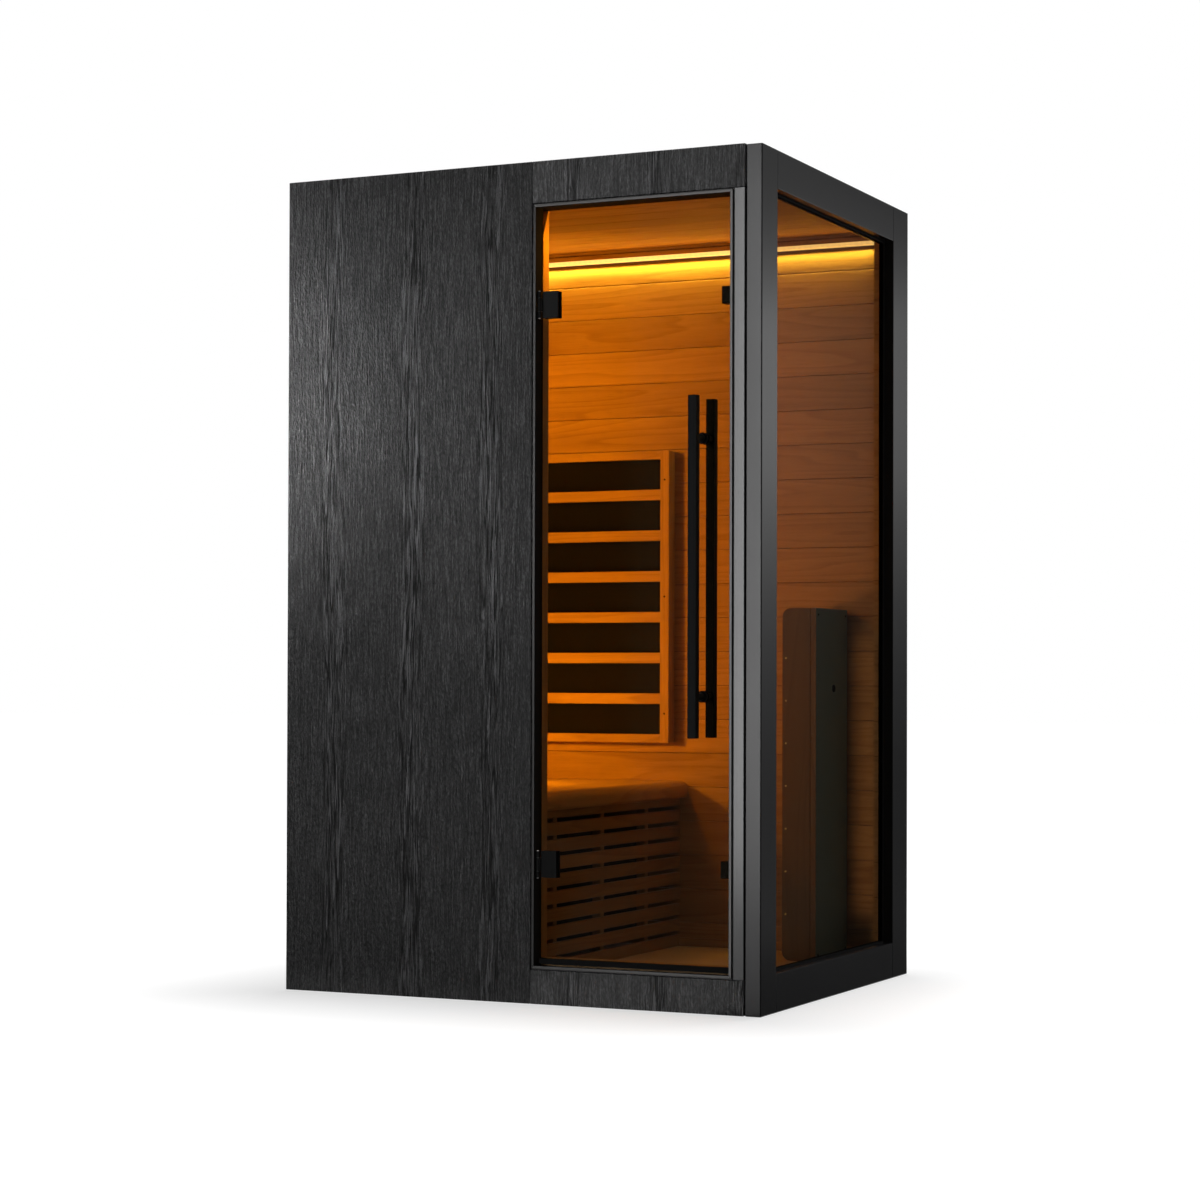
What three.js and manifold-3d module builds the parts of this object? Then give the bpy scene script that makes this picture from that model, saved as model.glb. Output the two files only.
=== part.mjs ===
// Infrared sauna cabin with a glass door and a glass side, in millimetres.
// Frame: origin at the centre of the underside, +X to the right, -Y to the front, +Z up.

import * as THREE from 'three';
import { mergeVertices } from 'three/addons/utils/BufferGeometryUtils.js';
import Module from 'manifold-3d';

const wasm = await Module();
wasm.setup();

// Cabin
const WIDTH = 1200;
const DEPTH = 980;
const HEIGHT = 1900;
const FIT = 0.3; // gap between pieces that seat on each other

// Shell, from the outside in
const FRONT_PANEL = 47; // thickness of the front wall's outer panel
const WALL_PANEL = 38; // thickness of the left and back outer panels
const LINING = 12; // thickness of the inner planks
const PLANK = 86.7; // cover width of one plank
const PLANK_GROOVE = 4; // width of the V groove between planks
const PLANK_GROOVE_DEPTH = 2;
const BASE = 36; // thickness of the base panel
const DECK = 12; // thickness of the floor deck
const ROOF_DROP = 4; // roof cover below the wall tops
const ROOF_COVER = 12;
const ROOF_CAVITY = 29; // clear height between ceiling planks and roof cover
const JOIST_WIDTH = 60;

// Smooth frame of the side window
const SIDE_FRAME = 50; // thickness of posts and rails along X
const FRAME_DROP = 2.5; // frame tops below the wall tops
const POST_FRONT = 37; // front post's width on the front
const POST_GROOVE = 4; // shadow groove between the front post and the stile
const POST_GROOVE_DEPTH = 8;
const FRONT_POST = 91; // front post's width on the side
const REAR_POST = 109; // rear post's width on the side
const TOP_RAIL = 85.5;
const BOTTOM_RAIL = 86;
const GLASS = 8; // thickness of every pane
const SIDE_GLASS_SET = 26; // side pane behind the frame's outer face
const SIDE_GLASS_TONGUE = 10; // how far the side pane reaches into its groove
const SIDE_GLASS_END = 2; // free depth at the bottom of that groove

// Door opening in the front wall
const STILE = 26; // strip of panel right of the door
const OPENING_WIDTH = 492;
const HEADER = 95; // front panel above the opening
const FOOTER = 77; // front panel below it

// Mitred door frame
const FRAME_WEB = 5; // thickness of the frame's web against the panel
const FRAME_LIP = 6; // visible width of the frame's front lip
const FRAME_LIP_DEPTH = 6;
const FRAME_SHADOW = 3; // shadow gap between panel and lip

// Wooden liners round the door, inside
const LINER = 16; // width of the left jamb liner
const LINER_DEPTH = 30;
const LINER_CHAMFER_TALL = 60; // cut-off top front corner of the left jamb liner
const LINER_CHAMFER_DEEP = 26;
const SILL_LINER_RISE = 23; // wooden sill above the footer panel

// Door pane
const DOOR_SET = 23; // pane's outer face behind the front
const DOOR_GAP = 3; // between the pane and the frame's lip
const SWEEP_HEIGHT = 12;
const SWEEP_WALL = 2.5;

// Hinges and catches
const HINGE_FROM_FOOT = 221.7; // lower hinge's middle above the pane's foot
const HINGE_FROM_TOP = 216.5; // upper hinge's middle below the pane's top
const HINGE_HEIGHT = 60;
const HINGE_KNUCKLE = 30; // length of the door's middle knuckle
const HINGE_REACH = 44; // from the pin to the clamp's free edge
const KNUCKLE_RADIUS = 4.5;
const PIN_RADIUS = 2.5;
const PIN_HEAD = 1.5; // pin's length past the outer knuckles
const PIVOT_OFFSET = 8; // pin axis from the frame's web
const PIVOT_SET = 12; // pin axis behind the front
const LEAF = 2.4;
const LEAF_DEPTH = 32;
const CLAMP_FRONT = 6.4; // clamp plate in front of the pane
const CLAMP_REAR = 5.6;
const CLAMP_EDGE = 6; // clamp plates start this far right of the pin
const CLAMP_WEB = 16; // web through the notch in the pane
const CLAMP_WEB_HEIGHT = 36;
const CATCH_WIDTH = 36;
const CATCH_HEIGHT = 38;
const CATCH_DEPTH = 28;
const CATCH_GAP = 0.5;

// Handle
const BAR = 20; // side of the square bars
const BAR_LENGTH = 750;
const BAR_CENTRE = 977;
const BAR_INSET = 70; // bar centre from the pane's free edge
const OUTER_GAP = 41; // pane to outer bar
const INNER_GAP = 33; // pane to inner bar
const STANDOFF_SPACING = 568.4;
const STANDOFF_RADIUS = 8;
const WASHER_RADIUS = 13;
const WASHER = 4;
const STUD_RADIUS = 5;
const STUD_HOLE_RADIUS = 6;

// Bench along the left wall
const BENCH_TOP = 472;
const BENCH_CLEAR = 3; // nose short of the jamb liner
const SEAT_BOARD = 18;
const NOSE_HEIGHT = 44;
const NOSE_WIDTH = 42;
const NOSE_RADIUS = 26;
const NOSE_UNDER_RADIUS = 8;
const NOSE_OVERHANG = 22; // nose in front of the slats
const SLAT_THICK = 12;
const SLAT_PITCH = 40;
const SLAT_GAP = 10;
const TOP_SLAT = 20;
const BATTEN = 20;
const BATTEN_FIRST = 160; // first batten from the front wall
const BATTEN_PITCH = 260;
const BATTENS = 3;
const CALF_HEATER = { length: 600, height: 280, thick: 4, above: 60 };

// Slatted wall heaters
const HEATER_HEIGHT = 750;
const HEATER_ABOVE_BENCH = 96.5;
const HEATER_DEPTH = 40;
const HEATER_STILE = 25;
const HEATER_RAIL = 22;
const HEATER_SLAT = 27;
const HEATER_SLAT_THICK = 12;
const HEATER_CELLS = 7;
const EMITTER = 4;
const EMITTER_SET = 16; // emitter behind the heater's front
const BACK_HEATER_WIDTH = 490;
const BACK_HEATER_INSET = 49.7; // from the left wall's planks
const LEFT_HEATER_WIDTH = 560;

// Heater tower in the right rear corner
const TOWER_CLEAR_SIDE = 86.7; // back cover to the side frame
const TOWER_CLEAR_BACK = 10.7; // case to the back wall's planks
const TOWER_CASE = 73; // along X
const TOWER_COVER = 15; // back cover along X
const TOWER_LENGTH = 219; // along Y
const TOWER_HEIGHT = 857;
const TOWER_BOARD = 18;
const TOWER_RADIUS = 22;
const TOWER_GRILLE_SET = 2;
const TOWER_GRILLE = 8;
const TOWER_EMITTER_SET = 21;
const TOWER_RAIL = 30;

// LED line under the ceiling
const LED_BELOW_CEILING = 6;
const LED_HEIGHT = 31;
const LED_DEPTH = 28;
const LED_WALL = 4;
const LED_LOWER_FLANGE = 10;
const LED_DIFFUSER = 18.5; // height of the diffuser
const LED_END = 17; // short of the side frame

// Power and control
const POWER_BOX = { fromLeft: 272, fromBack: 272, length: 260, width: 200, height: 24 };
const INLET = {
  fromLeft: 92, fromBack: 72, length: 28, width: 20, wall: 4, depth: 24, flange: 7, rim: 3, floor: 8,
};
const PANEL = { fromDoor: 140, z: 1260, width: 90, height: 170, thick: 12 };
const BUTTON_RADIUS = 9;
const BUTTON_PROUD = 2.5;
const BUTTON_LENGTH = 10.5;
const BUTTON_POCKET = 10;
const BUTTON_SPACING = 70;
const ROUND = 24; // sides of a round hole or rod

// Planes worked out from the sizes
const left = -WIDTH / 2;
const right = WIDTH / 2;
const front = -DEPTH / 2;
const back = DEPTH / 2;
const leftInside = left + WALL_PANEL;
const leftFace = leftInside + FIT + LINING;
const backInside = back - WALL_PANEL;
const backFace = backInside - FIT - LINING;
const frontInside = front + FRONT_PANEL;
const frontFace = frontInside + FIT + LINING;
const rightInside = right - SIDE_FRAME;
const floorTop = BASE + FIT + DECK;
const roofUnder = HEIGHT - ROOF_DROP - ROOF_COVER;
const ceilingTop = roofUnder - ROOF_CAVITY;
const ceilingFace = ceilingTop - LINING;
const frameTop = HEIGHT - FRAME_DROP;
const openingHead = HEIGHT - HEADER;
const stileRight = right - POST_FRONT - POST_GROOVE;
const openingRight = stileRight - STILE;
const openingLeft = openingRight - OPENING_WIDTH;
const webReach = FIT + FRAME_WEB; // frame's web face from the edge of the opening
const lipReach = FRAME_SHADOW + FRAME_LIP; // frame's lip from the edge of the opening
const webLeft = openingLeft + webReach;
const webRight = openingRight - webReach;
const linerLeft = webLeft - LINER;
const linerBack = frontInside + FIT + LINER_DEPTH;
const sillLinerTop = FOOTER + SILL_LINER_RISE;
const headLiner = openingHead - webReach;
const paneLeft = openingLeft + lipReach + DOOR_GAP;
const paneRight = openingRight - lipReach - DOOR_GAP;
const paneTop = openingHead - lipReach - DOOR_GAP;
const sweepFoot = FOOTER + lipReach + DOOR_GAP;
const paneFoot = sweepFoot + SWEEP_WALL + FIT;
const paneFront = front + DOOR_SET;
const paneBack = paneFront + GLASS;
const hingeAxis = new THREE.Vector3(webLeft + PIVOT_OFFSET, front + PIVOT_SET, 0);
const benchFront = linerLeft - BENCH_CLEAR;
const slatFace = benchFront - NOSE_OVERHANG;
const noseFoot = BENCH_TOP - NOSE_HEIGHT;
const barX = paneRight - BAR_INSET;
const hingeHeights = { lower: paneFoot + HINGE_FROM_FOOT, upper: paneTop - HINGE_FROM_TOP };
const inletX = leftInside + INLET.fromLeft;
const inletY = backInside - INLET.fromBack;
const panelX = linerLeft - PANEL.fromDoor;

// Materials
const finish = (color, roughness, metalness = 0, more = {}) =>
  new THREE.MeshStandardMaterial({ color, roughness, metalness, ...more });
const blackGrain = finish(0x37373a, 0.5);
const blackFrame = finish(0x3a3b3a, 0.4, 0.3);
const blackMetal = finish(0x161617, 0.4, 0.6);
const darkTrim = finish(0x6a6c70, 0.35, 0.8);
const wood = finish(0xb06a2c, 0.55);
const deckWood = finish(0x8c6440, 0.6);
const heaterWood = finish(0xa8682c, 0.55);
const towerWood = finish(0x7c5432, 0.55);
const emitterBlack = finish(0x18120e, 0.8);
const coverGrey = finish(0x35352e, 0.6);
const bronzeGlass = finish(0x8a6a4a, 0.05, 0, { transparent: true, opacity: 0.35 });
const sweepRubber = finish(0x0c0c0c, 0.7);
const steel = finish(0x9a9c9e, 0.3, 1);
const ledWarm = finish(0xffe3a0, 0.4, 0, { emissive: 0xffb040 });
const boxGrey = finish(0x4a4c50, 0.5);
const panelBlack = finish(0x0e0e10, 0.2);

// Geometry helpers
const X = new THREE.Vector3(1, 0, 0);
const Y = new THREE.Vector3(0, 1, 0);
const Z = new THREE.Vector3(0, 0, 1);

function outline(points, holes = []) {
  const shape = new THREE.Shape(points.map(([a, b]) => new THREE.Vector2(a, b)));
  for (const hole of holes) {
    shape.holes.push(hole instanceof THREE.Path ? hole : outline(hole));
  }
  return shape;
}

const rectangle = ([a0, a1], [b0, b1]) => [[a0, b0], [a1, b0], [a1, b1], [a0, b1]];

function circle(a, b, radius) {
  const points = [];
  for (let i = 0; i < ROUND; i += 1) {
    const turn = (2 * Math.PI * i) / ROUND;
    points.push([a + radius * Math.cos(turn), b + radius * Math.sin(turn)]);
  }
  return points;
}

// A section drawn in (y, z), (x, z) or (x, y), carried straight along the remaining axis.
function prism(shape, axis, [from, to]) {
  const depth = to - from;
  const geometry = new THREE.ExtrudeGeometry(shape, { depth, bevelEnabled: false, curveSegments: 8 });
  if (axis === 'x') {
    geometry.applyMatrix4(new THREE.Matrix4().makeBasis(Y, Z, X));
    return geometry.translate(from, 0, 0);
  }
  if (axis === 'y') {
    geometry.applyMatrix4(new THREE.Matrix4().makeBasis(X, Z, Y.clone().negate()));
    return geometry.translate(0, to, 0);
  }
  return geometry.translate(0, 0, from);
}

function box([x0, x1], [y0, y1], [z0, z1]) {
  const geometry = new THREE.BoxGeometry(x1 - x0, y1 - y0, z1 - z0);
  return geometry.translate((x0 + x1) / 2, (y0 + y1) / 2, (z0 + z1) / 2);
}

function toSolid(geometry) {
  const bare = geometry.clone();
  bare.deleteAttribute('normal');
  bare.deleteAttribute('uv');
  const { index, attributes } = mergeVertices(bare, 1e-3);
  const vertProperties = new Float32Array(attributes.position.array);
  const triVerts = new Uint32Array(index.array);
  return new wasm.Manifold(new wasm.Mesh({ numProp: 3, vertProperties, triVerts }));
}

function toGeometry(solid) {
  const { vertProperties, triVerts } = solid.getMesh();
  const geometry = new THREE.BufferGeometry();
  geometry.setAttribute('position', new THREE.BufferAttribute(vertProperties, 3));
  geometry.setIndex(new THREE.BufferAttribute(triVerts, 1));
  geometry.computeVertexNormals();
  return geometry;
}

const join = (first, ...others) =>
  toGeometry(others.reduce((solid, other) => solid.add(toSolid(other)), toSolid(first)));
const cut = (first, ...tools) =>
  toGeometry(tools.reduce((solid, tool) => solid.subtract(toSolid(tool)), toSolid(first)));
const common = (first, second) => toGeometry(toSolid(first).intersect(toSolid(second)));

function piece(parent, name, geometry, material) {
  const mesh = new THREE.Mesh(geometry, material);
  mesh.name = name;
  parent.add(mesh);
  return mesh;
}

function slab(parent, name, material, [x0, x1], [y0, y1], [z0, z1]) {
  const mesh = piece(parent, name, new THREE.BoxGeometry(x1 - x0, y1 - y0, z1 - z0), material);
  mesh.position.set((x0 + x1) / 2, (y0 + y1) / 2, (z0 + z1) / 2);
  return mesh;
}

// Section of a planked lining as [along, out] points: the back is straight, the face has V grooves.
function planked([from, to], joints) {
  const face = [];
  for (const joint of joints) {
    face.push([joint - PLANK_GROOVE / 2, LINING], [joint, LINING - PLANK_GROOVE_DEPTH]);
    face.push([joint + PLANK_GROOVE / 2, LINING]);
  }
  return [[from, LINING], ...face, [to, LINING], [to, 0], [from, 0]];
}

// Joints counted from one end, the first plank whole, the last cut to fit.
function plankJoints(start, end) {
  const joints = [];
  const step = Math.sign(end - start) * PLANK;
  for (let at = start + step; (end - at) * step > PLANK_GROOVE * PLANK; at += step) {
    joints.push(at);
  }
  return joints.sort((a, b) => a - b);
}

// Base, floor, roof and the outer wall panels
function buildShell(cabin) {
  const inX = [leftInside + FIT, rightInside - FIT];
  const inY = [frontInside + FIT, backInside - FIT];
  slab(cabin, 'base_panel', boxGrey, inX, inY, [0, BASE]);
  slab(cabin, 'floor_deck', deckWood, inX, inY, [BASE + FIT, floorTop]);
  slab(cabin, 'left_wall_panel', blackGrain, [left, leftInside], inY, [0, HEIGHT]);
  slab(cabin, 'back_wall_panel', blackGrain, [left, rightInside - FIT], [backInside, back], [0, HEIGHT]);

  const inletHole = rectangle(
    [inletX - INLET.length / 2, inletX + INLET.length / 2],
    [inletY - INLET.width / 2, inletY + INLET.width / 2],
  );
  const cover = outline(rectangle(inX, inY), [inletHole]);
  piece(cabin, 'roof_cover', prism(cover, 'z', [roofUnder, roofUnder + ROOF_COVER]), blackGrain);
  const joistY = [-JOIST_WIDTH / 2, JOIST_WIDTH / 2];
  slab(cabin, 'roof_joist', wood, inX, joistY, [ceilingTop + FIT, roofUnder - FIT]);
}

// Front wall: the wide panel, the strips round the door opening
function buildFront(cabin) {
  const deep = [front, frontInside];
  slab(cabin, 'front_left_panel', blackGrain, [left, openingLeft], deep, [0, HEIGHT]);
  const across = [openingLeft + FIT, stileRight];
  slab(cabin, 'front_header_panel', blackGrain, across, deep, [openingHead, HEIGHT]);
  slab(cabin, 'front_footer_panel', blackGrain, across, deep, [0, FOOTER]);
  const tall = [FOOTER + FIT, openingHead - FIT];
  slab(cabin, 'front_right_stile', blackGrain, [openingRight, stileRight], deep, tall);
}

// Smooth frame of the side window with its grooves, and the fixed pane
function buildSideWindow(cabin) {
  const paneX = [right - SIDE_GLASS_SET - GLASS, right - SIDE_GLASS_SET];
  const groove = [paneX[0] - FIT, paneX[1] + FIT];
  const grooveDepth = SIDE_GLASS_TONGUE + SIDE_GLASS_END;
  const windowY = [front + FRONT_POST, back - REAR_POST];
  const windowZ = [BOTTOM_RAIL, frameTop - TOP_RAIL];

  const tongueLeft = stileRight + FIT;
  const frontPost = outline([
    [right - POST_FRONT, front], [right, front], [right, windowY[0]],
    [groove[1], windowY[0]], [groove[1], windowY[0] - grooveDepth],
    [groove[0], windowY[0] - grooveDepth], [groove[0], windowY[0]],
    [rightInside, windowY[0]], [rightInside, frontInside], [tongueLeft, frontInside],
    [tongueLeft, front + POST_GROOVE_DEPTH], [right - POST_FRONT, front + POST_GROOVE_DEPTH],
  ]);
  piece(cabin, 'front_corner_post', prism(frontPost, 'z', [0, frameTop]), blackFrame);

  const rearPost = outline([
    [rightInside, windowY[1]], [groove[0], windowY[1]], [groove[0], windowY[1] + grooveDepth],
    [groove[1], windowY[1] + grooveDepth], [groove[1], windowY[1]], [right, windowY[1]],
    [right, back], [rightInside, back],
  ]);
  piece(cabin, 'rear_corner_post', prism(rearPost, 'z', [0, frameTop]), blackFrame);

  const railY = [windowY[0] + FIT, windowY[1] - FIT];
  const railSection = (inner, outer) => {
    const floor = inner + Math.sign(outer - inner) * grooveDepth;
    return outline([
      [rightInside, outer], [rightInside, inner], [groove[0], inner], [groove[0], floor],
      [groove[1], floor], [groove[1], inner], [right, inner], [right, outer],
    ]);
  };
  piece(cabin, 'side_top_rail', prism(railSection(windowZ[1], frameTop), 'y', railY), blackFrame);
  piece(cabin, 'side_bottom_rail', prism(railSection(windowZ[0], 0), 'y', railY), blackFrame);

  const grown = ([low, high]) => [low - SIDE_GLASS_TONGUE, high + SIDE_GLASS_TONGUE];
  slab(cabin, 'side_glass', bronzeGlass, paneX, grown(windowY), grown(windowZ));
}

// Plank lining of the walls and the ceiling, and the liners round the door
function buildLining(cabin) {
  const tall = [floorTop + FIT, ceilingFace - FIT];
  const joints = plankJoints(ceilingFace, floorTop);
  const wall = planked(tall, joints);
  const leftSection = wall.map(([z, out]) => [leftInside + FIT + out, z]);
  const backSection = wall.map(([z, out]) => [backInside - FIT - out, z]);
  const frontSection = wall.map(([z, out]) => [frontInside + FIT + out, z]);
  const leftRun = [frontInside + FIT, backInside - FIT];
  const backRun = [leftFace + FIT, rightInside - FIT];
  const frontRun = [leftFace + FIT, linerLeft - FIT];
  piece(cabin, 'left_wall_lining', prism(outline(leftSection), 'y', leftRun), wood);
  piece(cabin, 'back_wall_lining', prism(outline(backSection), 'x', backRun), wood);
  piece(cabin, 'front_wall_lining', prism(outline(frontSection), 'x', frontRun), wood);

  const deep = [frontInside + FIT, backInside - FIT];
  const ceiling = planked(deep, plankJoints(deep[1], deep[0])).map(([y, out]) => [y, ceilingTop - out]);
  const ceilingRun = [leftInside + FIT, rightInside - FIT];
  piece(cabin, 'ceiling_lining', prism(outline(ceiling), 'x', ceilingRun), wood);

  const linerY = [frontInside + FIT, linerBack];
  const linerX = [linerLeft, rightInside - FIT];
  const jambZ = [sillLinerTop + FIT, headLiner - FIT];
  slab(cabin, 'sill_liner', wood, linerX, linerY, [floorTop + FIT, sillLinerTop]);
  slab(cabin, 'header_liner', wood, linerX, linerY, [headLiner, ceilingFace - FIT]);
  slab(cabin, 'jamb_liner_right', wood, [webRight, rightInside - FIT], linerY, jambZ);
  const jamb = outline([
    [linerY[0], jambZ[0]], [linerY[1], jambZ[0]], [linerY[1], jambZ[1]],
    [linerY[0] + LINER_CHAMFER_DEEP, jambZ[1]], [linerY[0], jambZ[1] - LINER_CHAMFER_TALL],
  ]);
  piece(cabin, 'jamb_liner_left', prism(jamb, 'x', [linerLeft, webLeft]), wood);
}

// One side of the door frame, drawn as [distance into the opening, y], with mitred ends
function frameBar(length) {
  const lipBack = front + FRAME_LIP_DEPTH;
  const section = outline([
    [FIT, frontInside], [FIT, lipBack], [FRAME_SHADOW, lipBack], [FRAME_SHADOW, front],
    [lipReach, front], [lipReach, lipBack], [webReach, lipBack], [webReach, frontInside],
  ]);
  const geometry = prism(section, 'z', [0, length]);
  const { position } = geometry.attributes;
  for (let i = 0; i < position.count; i += 1) {
    const mitre = position.getX(i) + FIT / 2;
    position.setZ(i, position.getZ(i) < length / 2 ? mitre : length - mitre);
  }
  geometry.computeVertexNormals();
  return geometry;
}

function buildDoorFrame(cabin) {
  const openingHeight = openingHead - FOOTER;
  const bar = (name, length, turn, x, z) => {
    const mesh = piece(cabin, name, frameBar(length), darkTrim);
    mesh.rotation.y = turn;
    mesh.position.set(x, 0, z);
  };
  bar('door_frame_left', openingHeight, 0, openingLeft, FOOTER);
  bar('door_frame_right', openingHeight, Math.PI, openingRight, openingHead);
  bar('door_frame_head', OPENING_WIDTH, Math.PI / 2, openingLeft, openingHead);
  bar('door_frame_sill', OPENING_WIDTH, -Math.PI / 2, openingRight, FOOTER);
}

const pinBore = (z, half) =>
  prism(outline(circle(hingeAxis.x, hingeAxis.y, PIN_RADIUS + FIT)), 'z', [z - half, z + half]);
const knuckle = (span) => prism(outline(circle(hingeAxis.x, hingeAxis.y, KNUCKLE_RADIUS)), 'z', span);

// Fixed half of a hinge: a leaf on the frame's web with two knuckles, and the pin
function buildHingeLeaf(cabin, where, z) {
  const half = HINGE_HEIGHT / 2;
  const inner = HINGE_KNUCKLE / 2 + FIT;
  const leafX = [webLeft + FIT, webLeft + FIT + LEAF];
  const leafFront = front + FRAME_LIP_DEPTH + FIT;
  const leaf = box(leafX, [leafFront, leafFront + LEAF_DEPTH], [z - half, z + half]);
  const armX = [webLeft + FIT, hingeAxis.x];
  const armY = [hingeAxis.y - PIN_RADIUS, hingeAxis.y + PIN_RADIUS];
  const ends = [[z + inner, z + half], [z - half, z - inner]];
  const arms = ends.map((span) => box(armX, armY, span));
  const hub = join(leaf, ...arms, ...ends.map(knuckle));
  piece(cabin, `hinge_leaf_${where}`, cut(hub, pinBore(z, HINGE_HEIGHT)), blackMetal);

  const pinSpan = [z - half - PIN_HEAD, z + half + PIN_HEAD];
  const pin = prism(outline(circle(hingeAxis.x, hingeAxis.y, PIN_RADIUS)), 'z', pinSpan);
  piece(cabin, `hinge_pin_${where}`, pin, steel);
}

function buildCatch(cabin, where, z) {
  const catchX = [webRight - FIT - CATCH_WIDTH, webRight - FIT];
  const catchY = [paneBack + CATCH_GAP, paneBack + CATCH_GAP + CATCH_DEPTH];
  slab(cabin, `catch_${where}`, blackMetal, catchX, catchY, [z - CATCH_HEIGHT / 2, z + CATCH_HEIGHT / 2]);
}

// Moving half of a hinge: a knuckle and two plates that clamp the pane through a notch
function buildHingeClamp(door, where, z) {
  const half = HINGE_HEIGHT / 2;
  const plateX = [hingeAxis.x + CLAMP_EDGE, hingeAxis.x + HINGE_REACH];
  const faces = [paneFront - FIT, paneBack + FIT];
  const tall = [z - half, z + half];
  const frontPlate = box(plateX, [faces[0] - CLAMP_FRONT, faces[0]], tall);
  const rearPlate = box(plateX, [faces[1], faces[1] + CLAMP_REAR], tall);
  const webZ = [z - CLAMP_WEB_HEIGHT / 2, z + CLAMP_WEB_HEIGHT / 2];
  const webY = [faces[0] - CLAMP_FRONT / 2, faces[1] + CLAMP_REAR / 2];
  const web = box([plateX[0], plateX[0] + CLAMP_WEB], webY, webZ);
  const middle = [z - HINGE_KNUCKLE / 2, z + HINGE_KNUCKLE / 2];
  const arm = box([hingeAxis.x, plateX[0] + FIT], [hingeAxis.y, faces[0]], middle);
  const hub = join(frontPlate, rearPlate, web, arm, knuckle(middle));
  piece(door, `hinge_clamp_${where}`, cut(hub, pinBore(z, HINGE_HEIGHT)), blackMetal);
}

// Pane with a notch at each hinge clamp and a hole at each standoff
function buildPane(door) {
  const notchRight = hingeAxis.x + CLAMP_EDGE + CLAMP_WEB + FIT;
  const notchHalf = CLAMP_WEB_HEIGHT / 2 + FIT;
  const edge = Object.values(hingeHeights).flatMap((z) => [
    [paneLeft, z - notchHalf], [notchRight, z - notchHalf],
    [notchRight, z + notchHalf], [paneLeft, z + notchHalf],
  ]);
  const around = [
    [paneLeft, paneFoot], ...edge, [paneLeft, paneTop], [paneRight, paneTop], [paneRight, paneFoot],
  ];
  const holes = standoffHeights().map((z) => circle(barX, z, STUD_HOLE_RADIUS));
  const pane = prism(outline(around, holes), 'y', [paneFront, paneBack]);
  piece(door, 'door_glass', pane, bronzeGlass);
}

function buildSweep(door) {
  const outerY = [paneFront - FIT - SWEEP_WALL, paneBack + FIT + SWEEP_WALL];
  const innerY = [paneFront - FIT, paneBack + FIT];
  const top = sweepFoot + SWEEP_HEIGHT;
  const section = outline([
    [outerY[0], sweepFoot], [outerY[1], sweepFoot], [outerY[1], top], [innerY[1], top],
    [innerY[1], sweepFoot + SWEEP_WALL], [innerY[0], sweepFoot + SWEEP_WALL],
    [innerY[0], top], [outerY[0], top],
  ]);
  piece(door, 'door_sweep', prism(section, 'x', [paneLeft, paneRight]), sweepRubber);
}

const standoffHeights = () => [BAR_CENTRE - STANDOFF_SPACING / 2, BAR_CENTRE + STANDOFF_SPACING / 2];

// Square bars on both sides of the pane, on turned standoffs
function buildHandle(door) {
  const barSpanX = [barX - BAR / 2, barX + BAR / 2];
  const barSpanZ = [BAR_CENTRE - BAR_LENGTH / 2, BAR_CENTRE + BAR_LENGTH / 2];
  const outerFace = paneFront - OUTER_GAP;
  const innerFace = paneBack + INNER_GAP;
  slab(door, 'handle_outer_bar', blackMetal, barSpanX, [outerFace - BAR, outerFace], barSpanZ);
  slab(door, 'handle_inner_bar', blackMetal, barSpanX, [innerFace, innerFace + BAR], barSpanZ);

  const seatFront = paneFront - FIT;
  const seatBack = paneBack + FIT;
  const profile = [
    [0, outerFace + FIT], [STANDOFF_RADIUS, outerFace + FIT],
    [STANDOFF_RADIUS, seatFront - WASHER], [WASHER_RADIUS, seatFront - WASHER],
    [WASHER_RADIUS, seatFront], [STUD_RADIUS, seatFront],
    [STUD_RADIUS, seatBack], [WASHER_RADIUS, seatBack],
    [WASHER_RADIUS, seatBack + WASHER], [STANDOFF_RADIUS, seatBack + WASHER],
    [STANDOFF_RADIUS, innerFace - FIT], [0, innerFace - FIT],
  ].map(([r, y]) => new THREE.Vector2(r, y));
  const names = ['handle_standoff_lower', 'handle_standoff_upper'];
  standoffHeights().forEach((z, i) => {
    const mesh = piece(door, names[i], new THREE.LatheGeometry(profile, ROUND), blackMetal);
    mesh.position.set(barX, 0, z);
  });
}

function buildDoor() {
  const door = new THREE.Group();
  door.position.copy(hingeAxis);
  buildPane(door);
  buildSweep(door);
  buildHandle(door);
  for (const [where, z] of Object.entries(hingeHeights)) {
    buildHingeClamp(door, where, z);
  }
  for (const mesh of door.children) {
    mesh.position.sub(hingeAxis);
  }
  return door;
}

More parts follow.
